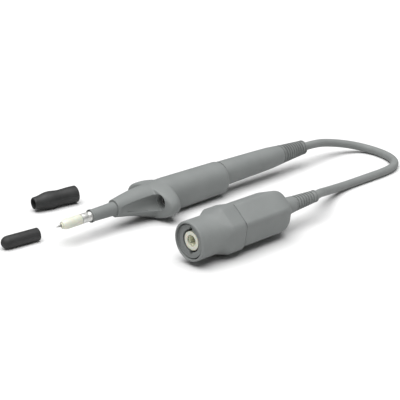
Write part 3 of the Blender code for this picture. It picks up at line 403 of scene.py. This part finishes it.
def grain(tree, shader, coordinates, rounded, size, depth):
    """Fine surface grain over the rounded edges."""
    bump = tree.nodes.new("ShaderNodeBump")
    bump.inputs["Strength"].default_value = GRAIN_STRENGTH
    bump.inputs["Distance"].default_value = depth
    tree.links.new(noise(tree, coordinates, size).outputs["Fac"], bump.inputs["Height"])
    tree.links.new(rounded.outputs["Normal"], bump.inputs["Normal"])
    tree.links.new(bump.outputs["Normal"], shader.inputs["Normal"])


def surface(name, low, high, patch, rough, grain_size, grain_depth, metallic):
    """A finish with blotches of two near colours, uneven gloss and fine grain."""
    made, tree, shader = node_tree(name)
    coordinates = tree.nodes.new("ShaderNodeTexCoord")
    blotches = noise(tree, coordinates, patch)
    rounded = rounding(tree)
    colour = blend_colours(tree, blotches.outputs["Fac"], low, high)
    # Painted highlight: the edges get a lighter colour, as where light catches them
    highlight_colour = [min(1.0, channel * PAINTED_HIGHLIGHT_LIGHTER) for channel in high]
    tree.links.new(paint_edge_highlight(tree, rounded, colour, highlight_colour), shader.inputs["Base Color"])
    smears = noise(tree, coordinates, patch * SMEAR_SIZE)
    gloss = spread(tree, smears.outputs["Fac"], rough + SMEAR_CHANGE[0], rough + SMEAR_CHANGE[1])
    tree.links.new(gloss, shader.inputs["Roughness"])
    grain(tree, shader, coordinates, rounded, grain_size, grain_depth)
    shader.inputs["Metallic"].default_value = metallic
    return made


def make_finishes():
    """One finish for each material slot of the record."""
    finishes = {slot: surface(*look) for slot, look in LOOKS.items()}
    for slot in ("grey_plastic", "grey_rubber"):
        matt = finishes[slot].node_tree.nodes["Principled BSDF"]
        matt.inputs["Specular IOR Level"].default_value = MATT_SHINE
    white = finishes["white_plastic"].node_tree.nodes["Principled BSDF"]
    white.inputs["Subsurface Weight"].default_value = WHITE_GLOW
    white.inputs["Subsurface Scale"].default_value = WHITE_GLOW_DEPTH
    return finishes


def finish_nodes(finishes):
    """Gives every CAD node the finish of its slot."""
    slots = {entry["node"]: entry["material_slot"] for entry in frame["record"]["subparts"]}
    for name, obj in frame["nodes"].items():
        for slot in obj.material_slots:
            slot.material = finishes[slots[name]]


def add_object(name, mesh):
    """A new object in the scene."""
    obj = bpy.data.objects.new(name, mesh)
    bpy.context.scene.collection.objects.link(obj)
    return obj


def stand_for(obj, node, body, slot):
    """The piece takes the place of a CAD node and moves with its body."""
    obj.data.materials.clear()
    obj.data.materials.append(FINISHES[slot])
    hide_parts(node)
    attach(obj, body)
    return obj


def smooth_mesh(mesh):
    """Smooth shading but over sharp corners."""
    mesh.shade_smooth()
    mesh.set_sharp_from_angle(angle=math.radians(CORNER_ANGLE))


def soften(outline, radius):
    """The outline with its corners rounded."""
    outline = [place for i, place in enumerate(outline) if place != outline[i - 1]]
    points = []
    count = len(outline)
    for i, place in enumerate(outline):
        here = Vector(place)
        back = Vector(outline[i - 1]) - here
        ahead = Vector(outline[(i + 1) % count]) - here
        if place[1] <= 0.0 or math.pi - back.angle(ahead) < math.radians(BEND):
            points.append(place)
            continue
        cut = min(radius, back.length * ROUND_REACH, ahead.length * ROUND_REACH)
        start = here + back.normalized() * cut
        end = here + ahead.normalized() * cut
        for step in range(ROUND_STEPS + 1):
            share = step / ROUND_STEPS
            point = start * (1 - share) ** 2 + here * (2 * share * (1 - share)) + end * share ** 2
            points.append((point.x, point.y))
    return points


def revolve(name, outline, place, segments=FINE):
    """A turned piece: outline holds (distance along local X, radius), and place puts it in the frame."""
    work = bmesh.new()
    verts = [work.verts.new((along, 0.0, max(radius, 0.0))) for along, radius in outline]
    closed = all(radius > 0.0 for _, radius in outline)
    edges = [work.edges.new(pair) for pair in zip(verts, verts[1:])]
    if closed:
        edges.append(work.edges.new((verts[-1], verts[0])))
    bmesh.ops.spin(work, geom=verts + edges, cent=(0, 0, 0), axis=(1, 0, 0), angle=2 * math.pi,
                   steps=segments, use_merge=True)
    bmesh.ops.remove_doubles(work, verts=work.verts, dist=MERGE_DISTANCE)
    bmesh.ops.recalc_face_normals(work, faces=work.faces)
    mesh = bpy.data.meshes.new(name)
    work.to_mesh(mesh)
    work.free()
    mesh.transform(place)
    smooth_mesh(mesh)
    return add_object(name, mesh)


def rod(name, radius, length, place, segments):
    """A plain round rod along local X."""
    return revolve(name, [(0.0, 0.0), (0.0, radius), (length, radius), (length, 0.0)], place, segments)


def on_axis(start, axis):
    """Places a turned piece's local X on an axis along X, from start."""
    return Matrix.Translation((start, axis[0], axis[1]))


def skin(name, rings, place):
    """A closed skin over a loop of rings."""
    work = bmesh.new()
    rows = [[work.verts.new(point) for point in ring] for ring in rings]
    for first, second in zip(rows, rows[1:] + rows[:1]):
        for i in range(len(first)):
            j = (i + 1) % len(first)
            work.faces.new((first[i], first[j], second[j], second[i]))
    bmesh.ops.recalc_face_normals(work, faces=work.faces)
    mesh = bpy.data.meshes.new(name)
    work.to_mesh(mesh)
    work.free()
    mesh.transform(place)
    smooth_mesh(mesh)
    return add_object(name, mesh)


def subtract(obj, tools):
    """Cuts tools out of a piece and removes them."""
    for tool in tools:
        step = obj.modifiers.new(tool.name, "BOOLEAN")
        step.operation = "DIFFERENCE"
        step.object = tool
    bpy.context.view_layer.update()
    evaluated = obj.evaluated_get(bpy.context.evaluated_depsgraph_get())
    mesh = bpy.data.meshes.new_from_object(evaluated)
    obj.modifiers.clear()
    obj.data = mesh
    for tool in tools:
        bpy.data.objects.remove(tool)
    smooth_mesh(mesh)


def set_camera():
    """The photograph's camera."""
    data = bpy.data.cameras.new("camera")
    data.lens = LENS
    data.sensor_width = SENSOR
    data.sensor_fit = "HORIZONTAL"
    data.clip_start = CAMERA_NEAR
    camera = add_object("camera", data)
    camera.location = CAMERA_PLACE
    camera.rotation_euler = (math.radians(90 - CAMERA_DOWN), 0.0, math.radians(CAMERA_TURN))
    bpy.context.scene.camera = camera


def set_light():
    """A broad soft light from above and a weak even sky."""
    lamp = bpy.data.lights.new("overhead", "SUN")
    lamp.energy = SUN_STRENGTH
    lamp.angle = math.radians(SUN_SOFTNESS)
    sun = add_object("overhead", lamp)
    sun.rotation_euler = (math.radians(SUN_TILT[0]), math.radians(SUN_TILT[1]), 0.0)
    world = bpy.data.worlds.new("studio")
    world.use_nodes = True
    world.node_tree.nodes["Background"].inputs["Color"].default_value = (1.0, 1.0, 1.0, 1.0)
    world.node_tree.nodes["Background"].inputs["Strength"].default_value = SKY
    bpy.context.scene.world = world
    bpy.context.scene.view_settings.view_transform = "Standard"


def set_floor():
    """Plain pale floor under everything."""
    mesh = bpy.data.meshes.new("floor")
    work = bmesh.new()
    bmesh.ops.create_grid(work, x_segments=1, y_segments=1, size=FLOOR_SIZE / 2)
    work.to_mesh(mesh)
    work.free()
    floor = add_object("floor", mesh)
    made, _, shader = node_tree("pale_floor")
    shader.inputs["Base Color"].default_value = (FLOOR_WHITE, FLOOR_WHITE, FLOOR_WHITE, 1.0)
    shader.inputs["Roughness"].default_value = FLOOR_ROUGHNESS
    shader.inputs["Specular IOR Level"].default_value = 0.0
    mesh.materials.append(made)


def route_point(before, start, end, after, share):
    """A point on the smooth curve between two route points."""
    square = share * share
    cube = square * share
    return 0.5 * (2 * start + (end - before) * share + (2 * before - 5 * start + 4 * end - after) * square
                  + (3 * start - before - 3 * end + after) * cube)


def make_cable():
    """The coaxial cable on the floor, from the handle's boot to the plug's."""
    handle_rear = reach("handle_boot")[1]
    plug_rear = reach("plug_boot")[1]
    start = [Vector((handle_rear - CABLE_HIDDEN * share, *HANDLE_AXIS)) for share in (2, 1, 0)]
    end = [Vector((plug_rear - CABLE_HIDDEN * share, *PLUG_AXIS)) for share in (0, 1, 2)]
    route = start + [Vector(place) for place in CABLE_ROUTE] + end
    points = []
    for i in range(1, len(route) - 2):
        points += [route_point(*route[i - 1:i + 3], step / CABLE_STEPS) for step in range(CABLE_STEPS)]
    points.append(route[-2])
    curve = bpy.data.curves.new("coaxial_cable", "CURVE")
    curve.dimensions = "3D"
    curve.bevel_depth = CABLE_DIAMETER / 2
    curve.bevel_resolution = CABLE_ROUND_STEPS
    curve.use_fill_caps = True
    spline = curve.splines.new("POLY")
    spline.points.add(len(points) - 1)
    for point, place in zip(spline.points, points):
        point.co = (*place, 1.0)
    spline.use_smooth = True
    cable = stand_for(add_object("coaxial_cable", curve), "cable", "probe", "grey_rubber")
    length = sum((b - a).length for a, b in zip(points, points[1:]))
    print("cable length", round(length, 4))
    return cable, (handle_rear, *HANDLE_AXIS)


def oval(x, half_width, half_height, drop, power=2.0):
    """A superellipse across the axis at x, its centre lowered by drop."""
    ring = []
    for i in range(FINE):
        angle = 2 * math.pi * i / FINE
        across = math.copysign(abs(math.cos(angle)) ** (2 / power), math.cos(angle))
        up = math.copysign(abs(math.sin(angle)) ** (2 / power), math.sin(angle))
        ring.append((x, half_width * across, half_height * up - drop))
    return ring


def wing_share(position):
    """How far the guard's wing reaches, from 0 to 1, at a share of its length."""
    if position < WING_PEAK:
        return (1 - ((WING_PEAK - position) / WING_PEAK) ** WING_FRONT_POWER) ** (1 / WING_FRONT_POWER)
    return (1 - ((position - WING_PEAK) / (1 - WING_PEAK)) ** WING_REAR_POWER) ** (1 / WING_REAR_POWER)


def cone_rings():
    """Rings from the front lip along the cone."""
    rings = [oval(0.0, LIP_RADIUS - SLIP, LIP_RADIUS - SLIP, 0.0), oval(SLIP, LIP_RADIUS, LIP_RADIUS, 0.0)]
    fillet = WING_FILLET / CONE_LENGTH
    shares = [step / CONE_STEPS * (1 - fillet) for step in range(1, CONE_STEPS + 1)]
    shares += [1 - fillet * (1 - step / FILLET_STEPS) for step in range(1, FILLET_STEPS)]
    for share in shares:
        radius = LIP_RADIUS + (CONE_REAR_RADIUS - LIP_RADIUS) * share
        height = radius + (GUARD_HALF_HEIGHT - CONE_REAR_RADIUS) * share ** 2
        drop = GUARD_DROP * share ** 3
        inward = 1 - (1 - share) / fillet
        if inward <= 0:
            rings.append(oval(CONE_LENGTH * share, radius, height, drop))
            continue
        outward = radius + WING_FILLET * (1 - (1 - inward ** 2) ** 0.5)
        rings.append(guard_ring(CONE_LENGTH * share, radius, height, outward, drop, CONE_BLEND))
    return rings


def guard_ring(x, body_width, body_height, width, drop, blend):
    """A section through the guard: the body's oval with the wider oval of the two wings melted into it."""
    ring = []
    for _, across, up in oval(x, width, body_height, 0.0):
        size = math.hypot(across, up)
        body = size / math.hypot(across / body_width, up / body_height)
        wing = size / math.hypot(across / width, up / WING_HALF_HEIGHT)
        melted = body + blend * math.log1p(math.exp((wing - body) / blend))
        ring.append((x, across * melted / size, up * melted / size - drop))
    return ring


def guard_rings():
    """Rings over the wings."""
    rings = []
    for step in range(2, GUARD_STEPS - 1):
        position = (1 - math.cos(math.pi * step / GUARD_STEPS)) / 2
        base = CONE_REAR_RADIUS + (GRIP_HALF_WIDTH - CONE_REAR_RADIUS) * position
        share = wing_share(position)
        fillet = WING_FILLET * min(1.0, (1 - position) * WING_FILLET_FADE)
        width = base + fillet * (1 - share) + (WING_REACH - base) * share
        height = GUARD_HALF_HEIGHT + (GRIP_HALF_HEIGHT - GUARD_HALF_HEIGHT) * position
        drop = GUARD_DROP + (GRIP_DROP - GUARD_DROP) * position
        blend = WING_BLEND * share ** 2 + LEAST_BLEND
        rings.append(guard_ring(CONE_LENGTH + WING_LENGTH * position, base, height, width, drop, blend))
    return rings


def grip_rings(rear):
    """Rings from behind the guard to the grip's rounded rear edge."""
    front = CONE_LENGTH + WING_LENGTH
    rings = []
    for step in range(1, GRIP_STEPS):
        share = step / GRIP_STEPS
        shrink = GRIP_TAPER * share
        rings.append(oval(front + (rear - front - GRIP_END_ROUND) * share, GRIP_HALF_WIDTH - shrink,
                          GRIP_HALF_HEIGHT - shrink, GRIP_DROP, GRIP_POWER))
    for step in range(GRIP_STEPS + 1):
        turn = math.radians(90) * step / GRIP_STEPS
        inset = GRIP_END_ROUND * (1 - math.cos(turn))
        along = rear - GRIP_END_ROUND * (1 - math.sin(turn))
        half_height = GRIP_HALF_HEIGHT - GRIP_TAPER - inset * (1 - GRIP_END_LIFT)
        rings.append(oval(along, GRIP_HALF_WIDTH - GRIP_TAPER - inset, half_height,
                          GRIP_DROP - inset * GRIP_END_LIFT, GRIP_POWER))
    return rings


def make_housing():
    """Cone, winged guard and grip with the lead trough, in one fine shell."""
    front, rear = reach("housing")
    length = rear - front
    nose_low, nose_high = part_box("nose_tube")
    nose_rear = (nose_high[0] - front) + SEAT_GAP
    bore = (nose_high[2] - nose_low[2]) / 2 + NOSE_CLEARANCE
    cavity_front = length - CAVITY_DEPTH
    hollow = [(length, CAVITY_RADIUS), (cavity_front, CAVITY_RADIUS), (cavity_front, bore - NOSE_STEP),
              (nose_rear, bore - NOSE_STEP), (nose_rear, bore), (0.0, bore)]
    inner = [oval(x, radius, radius, 0.0) for x, radius in hollow]
    place = on_axis(front, HANDLE_AXIS)
    shell = skin("housing_shell", cone_rings() + guard_rings() + grip_rings(length) + inner, place)
    spot = place @ Matrix.Translation((0.0, LEAD_Y, LEAD_Z))
    floor = CONE_LENGTH + LEAD_DEPTH
    mouth = floor - LEAD_HOLE_DEPTH
    profile = [(LIP_LENGTH, 0.0), (LIP_LENGTH, LEAD_TROUGH_RADIUS), (mouth - LEAD_FUNNEL, LEAD_TROUGH_RADIUS),
               (mouth, LEAD_HOLE_RADIUS + LEAD_LEDGE), (mouth + SLIP, LEAD_HOLE_RADIUS),
               (floor, LEAD_HOLE_RADIUS), (floor, 0.0)]
    trough = revolve("trough_tool", profile, spot, MEDIUM)
    contact_low, contact_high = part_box("lead_contact")
    pocket = rod("pocket_tool", (contact_high[2] - contact_low[2]) / 2 + SLIP,
                 contact_high[0] - contact_low[0] + SEAT_GAP,
                 Matrix.Translation((contact_low[0], *spot.translation[1:])), POCKET_FACETS)
    start, end = [Vector(point) for point in LEAD_GROOVE]
    along = (end - start).to_track_quat("X", "Z").to_matrix().to_4x4()
    groove = rod("groove_tool", LEAD_GROOVE_RADIUS, (end - start).length,
                 place @ Matrix.Translation(start) @ along, GROOVE_FACETS)
    subtract(shell, [trough, pocket, groove])
    return stand_for(shell, "housing", "probe", "grey_plastic")


def make_darker_nickel_pieces():
    """The cup at the bottom of the lead socket, darkened as painted shade of its hole, and the needle, both of a
    darker nickel.
    """
    darker_nickel = surface(*DARKER_NICKEL_PAINTED_SHADE)
    for node, name, body in (("lead_contact", "lead_cup", "probe"),
                             ("probe_needle", "needle_fine", "needle")):
        piece = stand_for(add_object(name, frame["nodes"][node].data.copy()), node, body, "bright_metal")
        piece.data.materials[0] = darker_nickel


def make_spring():
    """The needle's spring, copied from its CAD node as it is."""
    spring = add_object("needle_spring_fine", frame["nodes"]["needle_spring"].data.copy())
    stand_for(spring, "needle_spring", "probe", "bright_metal")
    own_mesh(spring)


def make_bayonet_ring():
    """The slotted ring, its front widened to the shroud's wall."""
    mesh = frame["nodes"]["bayonet_ring"].data.copy()
    low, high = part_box("bayonet_ring")
    radius = (high[2] - low[2]) / 2
    for vert in mesh.vertices:
        across = Vector((0.0, vert.co.y - PLUG_AXIS[0], vert.co.z - PLUG_AXIS[1]))
        if across.length > radius - EDGE:
            share = 1 - (vert.co.x - low[0]) / (high[0] - low[0])
            vert.co += across.normalized() * RING_FLARE * share
        if vert.co.x < low[0] + SLIP:
            vert.co.x += RING_SET_BACK
    ring = add_object("bayonet_ring_fine", mesh)
    smooth_mesh(mesh)
    return stand_for(ring, "bayonet_ring", "coupling", "grey_plastic")


def rounded_hexagon(x, flat, corner_radius):
    """A hexagon with rounded corners across the axis, turned as the plug lies."""
    ring = []
    distance = (flat - corner_radius) / math.cos(math.radians(30))
    for corner in range(6):
        middle = math.radians(90 + HEX_TURN + 60 * corner)
        for step in range(HEX_CORNER_STEPS):
            angle = middle + math.radians(60 * ((step + 0.5) / HEX_CORNER_STEPS - 0.5))
            ring.append((x, distance * math.cos(middle) + corner_radius * math.cos(angle),
                         distance * math.sin(middle) + corner_radius * math.sin(angle)))
    return ring


def disc(x, radius):
    """A circle whose points line up with the hexagons'."""
    return rounded_hexagon(x, radius, radius)


def make_coupling_sleeve():
    """Round shroud that flares into the hexagonal grip."""
    front, rear = reach("coupling_sleeve")
    length = rear - front
    bore = (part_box("bayonet_ring")[1][2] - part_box("bayonet_ring")[0][2]) / 2 + SEAT_GAP + SLIP
    neck_bore = PLUG_NECK_RADIUS + SEAT_GAP
    ring_end = reach("plug_body")[0] - SEAT_GAP - front
    flare_rear = SHROUD_LENGTH + FLARE_LENGTH
    rings = []
    for step in range(SHROUD_EDGE_STEPS + 1):
        turn = math.radians(90) * step / SHROUD_EDGE_STEPS
        inset = SHROUD_EDGE * (1 - math.sin(turn))
        rings.append(disc(SHROUD_EDGE * (1 - math.cos(turn)), SHROUD_RADIUS - inset))
    rings.append(disc(SHROUD_LENGTH / 2, SHROUD_RADIUS))
    rings.append(disc(SHROUD_LENGTH - EDGE, SHROUD_RADIUS))
    for step in range(1, FLARE_STEPS + 1):
        share = step / (FLARE_STEPS + 0.5)
        rings.append(rounded_hexagon(SHROUD_LENGTH + FLARE_LENGTH * share,
                                     SHROUD_RADIUS + (GRIP_RING_FLAT - SHROUD_RADIUS) * share,
                                     SHROUD_RADIUS + (GRIP_RING_ROUND - SHROUD_RADIUS) * share))
    chamfer = GRIP_RING_CHAMFER * CHAMFER_SLOPE
    rings += [rounded_hexagon(x, GRIP_RING_FLAT, GRIP_RING_ROUND)
              for x in (flare_rear, flare_rear + FLARE_LEDGE, length - chamfer)]
    for step in range(1, CHAMFER_STEPS + 1):
        share = step / CHAMFER_STEPS
        rings.append(rounded_hexagon(length - chamfer * (1 - share),
                                     GRIP_RING_FLAT - GRIP_RING_CHAMFER * share ** CHAMFER_POWER,
                                     GRIP_RING_ROUND))
    mouth = SHROUD_RADIUS - SHROUD_WALL
    rings += [disc(length, neck_bore), disc(ring_end, neck_bore), disc(ring_end, bore),
              disc(SHROUD_DEPTH, bore), disc(SHROUD_DEPTH, mouth), disc(EDGE, mouth),
              disc(0.0, mouth + SHROUD_LIP)]
    sleeve = skin("coupling_grip", rings, on_axis(front, PLUG_AXIS))
    return stand_for(sleeve, "coupling_sleeve", "coupling", "grey_plastic")


def make_plug_body():
    """Fixed hexagonal shell with its rounded shoulder."""
    front, rear = reach("plug_body")
    length = rear - front
    face = reach("coupling_sleeve")[1] + SLIP - front
    boot_radius = (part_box("plug_boot")[1][2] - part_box("plug_boot")[0][2]) / 2
    bore = boot_radius + SEAT_GAP
    end_radius = boot_radius + PLUG_END_WALL
    rings = [disc(0.0, PLUG_NECK_RADIUS), disc(face, PLUG_NECK_RADIUS)]
    for step in range(PLUG_BODY_EDGE_STEPS + 1):
        turn = math.radians(90) * step / PLUG_BODY_EDGE_STEPS
        rings.append(rounded_hexagon(face + PLUG_BODY_EDGE * (1 - math.cos(turn)),
                                     PLUG_BODY_FLAT - PLUG_BODY_EDGE * (1 - math.sin(turn)), PLUG_BODY_ROUND))
    rings.append(rounded_hexagon((face + length) / 2, PLUG_BODY_FLAT, PLUG_BODY_ROUND))
    for step in range(SHOULDER_STEPS + 1):
        turn = math.radians(SHOULDER_SWEEP) * step / SHOULDER_STEPS
        fall = 1 - math.cos(turn)
        rings.append(rounded_hexagon(length - PLUG_SHOULDER * (1 - math.sin(turn)),
                                     PLUG_BODY_FLAT - (PLUG_BODY_FLAT - end_radius) * fall,
                                     PLUG_BODY_ROUND + (end_radius - PLUG_BODY_ROUND) * fall))
    throat_rear, throat_front = [length - depth for depth in PLUG_THROAT]
    rings += [disc(length, end_radius - SLIP), disc(length, bore), disc(throat_rear, bore),
              disc(throat_rear, PLUG_THROAT_RADIUS), disc(throat_front, PLUG_THROAT_RADIUS),
              disc(throat_front, PLUG_BORE), disc(0.0, PLUG_BORE)]
    body = skin("plug_shell", rings, on_axis(front, PLUG_AXIS))
    return stand_for(body, "plug_body", "probe", "grey_plastic")


def ribbed(front, rear, front_radius, rear_radius, ribs, depth):
    """Outer outline of a tapering stretch with rounded ring grooves."""
    points = []
    pitch = (rear - front) / ribs
    for i in range(ribs):
        radius = front_radius + (rear_radius - front_radius) * (i + 0.5) / ribs
        start = front + pitch * i
        points += [(start + pitch * share, radius - depth * fall) for share, fall in RIB_PROFILE]
    return points


def make_boot(node, name, axis, shown, smooth, radii, neck, ribs, depth):
    """A ribbed bend relief, seen behind X = shown, with radii at its root, at the ribs' start and at the end."""
    front, rear = reach(node)
    length = rear - front
    visible = shown - front
    bore = CABLE_DIAMETER / 2 + SLIP
    ribs_front = visible + smooth
    neck_rear = visible + neck[0]
    root = min(BOOT_ROOT_RADIUS, radii[0] - neck[1])
    outline = [(visible - BOOT_ROOT, bore), (visible - BOOT_ROOT, root), (visible, root),
               (visible, radii[0] - neck[1]), (neck_rear, radii[0] - neck[1]), (neck_rear, radii[0] - EDGE),
               (neck_rear + EDGE, radii[0]), (visible + smooth / 2, (radii[0] + radii[1]) / 2),
               (ribs_front, radii[1])]
    outline += ribbed(ribs_front, length - BOOT_END_LENGTH, radii[1], radii[2], ribs, depth)
    outline += soften([(length - BOOT_END_LENGTH, radii[2]), (length, radii[2]), (length, bore)],
                      BOOT_END_LENGTH / 2)
    boot = revolve(name, outline, on_axis(front, axis), MEDIUM)
    return stand_for(boot, node, "probe", "grey_rubber")


def make_boots():
    """Both bend reliefs."""
    tail_rear = reach("tail_housing")[1] - HANDLE_BOOT_SHOWN + SLIP
    body_rear = reach("plug_body")[1] + PLUG_BOOT_GAP
    make_boot("handle_boot", "handle_bend_relief", HANDLE_AXIS, tail_rear, HANDLE_BOOT_SMOOTH,
              HANDLE_BOOT_RADII, HANDLE_BOOT_NECK, HANDLE_BOOT_RIBS, HANDLE_RIB_DEPTH)
    make_boot("plug_boot", "plug_bend_relief", PLUG_AXIS, body_rear, PLUG_BOOT_SMOOTH, PLUG_BOOT_RADII,
              PLUG_BOOT_NECK, PLUG_BOOT_RIBS, PLUG_RIB_DEPTH)


def make_tail():
    """Tapered rear half of the handle."""
    front, rear = reach("tail_housing")
    shown = reach("housing")[1] + SEAT_GAP - front
    length = rear - front - HANDLE_BOOT_SHOWN
    spigot = CAVITY_RADIUS - SEAT_GAP
    outline = [(0.0, TAIL_FRONT_BORE), (0.0, spigot), (shown, spigot), (shown, TAIL_FRONT_RADIUS),
               (length - TAIL_TAPER, TAIL_MIDDLE_RADIUS),
               (length - TAIL_END_TAPER, (TAIL_MIDDLE_RADIUS + TAIL_REAR_RADIUS) / 2 + SLIP),
               (length, TAIL_REAR_RADIUS), (length, TAIL_REAR_BORE)]
    tail = revolve("tail_shell", soften(outline, EDGE), on_axis(front, HANDLE_AXIS))
    return stand_for(tail, "tail_housing", "probe", "grey_plastic")


def make_tip():
    """Nose tube, silver tube and white insulator."""
    front, rear = reach("nose_tube")
    length = rear - front
    lip = reach("housing")[0] - front
    outline = [(0.0, NOSE_MOUTH), (0.0, NOSE_RIM_RADIUS), (NOSE_RIM_LENGTH, NOSE_RIM_RADIUS),
               (NOSE_WAIST, NOSE_WAIST_RADIUS), (lip, NOSE_RADIUS), (length, NOSE_RADIUS),
               (length, NOSE_BORE), (NOSE_MOUTH_DEPTH, NOSE_BORE), (NOSE_MOUTH_DEPTH, NOSE_MOUTH)]
    stand_for(revolve("nose_sleeve", soften(outline, NOSE_ROUND), on_axis(front, HANDLE_AXIS), MEDIUM),
              "nose_tube", "probe", "grey_plastic")
    nose_front = front
    front, rear = reach("shield_tube")
    length = rear - front
    groove = (nose_front - front) * SHIELD_GROOVE_PLACE
    groove_rear = groove + SHIELD_GROOVE_WIDTH
    outline = [(0.0, SHIELD_BORE), (0.0, SHIELD_RADIUS), (groove, SHIELD_RADIUS),
               (groove, SHIELD_GROOVE_RADIUS), (groove_rear, SHIELD_GROOVE_RADIUS),
               (groove_rear, SHIELD_RADIUS), (length, SHIELD_RADIUS), (length, SHIELD_BORE)]
    stand_for(revolve("ground_tube", soften(outline, SHIELD_ROUND), on_axis(front, HANDLE_AXIS), MEDIUM),
              "shield_tube", "probe", "bright_metal")
    shield_front = front
    front, rear = reach("tip_insulator")
    length = rear - front
    shoulder = shield_front - SEAT_GAP - front
    outline = [(0.0, TIP_BORE), (0.0, TIP_MOUTH_RADIUS), *TIP_CONE, (shoulder, TIP_RADIUS),
               (shoulder, TIP_STEM_RADIUS), (length, TIP_STEM_RADIUS), (length, TIP_BORE)]
    stand_for(revolve("tip_insulator_fine", soften(outline, TIP_ROUND), on_axis(front, HANDLE_AXIS), MEDIUM),
              "tip_insulator", "probe", "white_plastic")


def lying(node, length, turn, radius):
    """Matrix of a loose cover: its local X runs from its front end along its turned axis."""
    low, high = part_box(node)
    middle = Vector(((low[0] + high[0]) / 2, (low[1] + high[1]) / 2, low[2] + radius))
    turned = Matrix.Rotation(math.radians(turn), 4, "Z")
    return Matrix.Translation(middle) @ turned @ Matrix.Translation((-length / 2, 0.0, 0.0))


def make_cap():
    """Closed rubber cover with a domed end."""
    outline = [(0.0, 0.0)]
    for step in range(1, CAP_DOME_STEPS + 1):
        turn = math.radians(90) * step / CAP_DOME_STEPS
        outline.append((CAP_DOME * (1 - math.cos(turn)), CAP_RADIUS * math.sin(turn)))
    outline += [(CAP_LENGTH, CAP_RADIUS), (CAP_LENGTH, CAP_BORE), (CAP_END, CAP_BORE),
                (CAP_END - CAP_BORE / 2, 0.0)]
    place = lying("tip_cap", CAP_LENGTH, CAP_TURN, CAP_RADIUS)
    stand_for(revolve("tip_cap_fine", soften(outline, EDGE), place, MEDIUM), "tip_cap", "cap", "black_rubber")


def make_sleeve():
    """Open rubber cover, bulging near its narrow mouth."""
    first, bulge, waist, last = SLEEVE_RADII
    narrow, wide = SLEEVE_BORES
    stations = [(SLEEVE_RIM_ROUND, first)]
    stations += [(SLEEVE_LENGTH * share, radius)
                 for share, radius in zip(SLEEVE_STATIONS, (bulge, waist, last))]
    outline = [(0.0, narrow), (0.0, first - SLEEVE_RIM_ROUND / 2)]
    for (start, from_radius), (end, to_radius) in zip(stations, stations[1:]):
        for step in range(SLEEVE_SWELL_STEPS):
            share = step / SLEEVE_SWELL_STEPS
            swell = (1 - math.cos(math.pi * share)) / 2
            outline.append((start + (end - start) * share, from_radius + (to_radius - from_radius) * swell))
    outline += [stations[-1], (SLEEVE_LENGTH, last), (SLEEVE_LENGTH, wide), (SLEEVE_STEP, wide),
                (SLEEVE_STEP - SLEEVE_STEP_TAPER, narrow)]
    place = lying("tip_sleeve", SLEEVE_LENGTH, SLEEVE_TURN, bulge)
    sleeve = revolve("tip_sleeve_fine", soften(outline, SLEEVE_RIM_ROUND), place, MEDIUM)
    stand_for(sleeve, "tip_sleeve", "sleeve", "black_rubber")


def make_white_tube():
    """White insulator in the plug's mouth, with a rounded rim."""
    front, rear = reach("white_tube")
    length = rear - front
    outline = [(0.0, INSULATOR_LIP_BORE), (0.0, INSULATOR_RADIUS), (length, INSULATOR_RADIUS),
               (length, INSULATOR_BORE), (INSULATOR_LIP, INSULATOR_BORE), (INSULATOR_LIP, INSULATOR_LIP_BORE)]
    tube = revolve("plug_insulator_fine", soften(outline, INSULATOR_ROUND), on_axis(front, PLUG_AXIS), MEDIUM)
    return stand_for(tube, "white_tube", "probe", "white_plastic")


set_camera()
set_light()
set_floor()
FINISHES = make_finishes()
finish_nodes(FINISHES)
cable, cable_exit = make_cable()
make_housing()
make_darker_nickel_pieces()
make_spring()
make_tail()
make_tip()
make_coupling_sleeve()
make_bayonet_ring()
make_plug_body()
make_white_tube()
make_boots()
make_cap()
make_sleeve()

# The plug's pieces, gathered in a list
on_the_cord = [obj for obj in bpy.context.scene.objects
               if obj.name in ("plug_shell", "coupling_grip", "plug_bend_relief", "plug_insulator_fine",
                               "bayonet_ring_fine")]
on_the_cord += [frame["nodes"][name] for name in ("outer_contact", "centre_pin", "centre_bead", "plug_core",
                                                  "mating_gasket", "retaining_clip", "wave_washer",
                                                  "plug_crimp")]
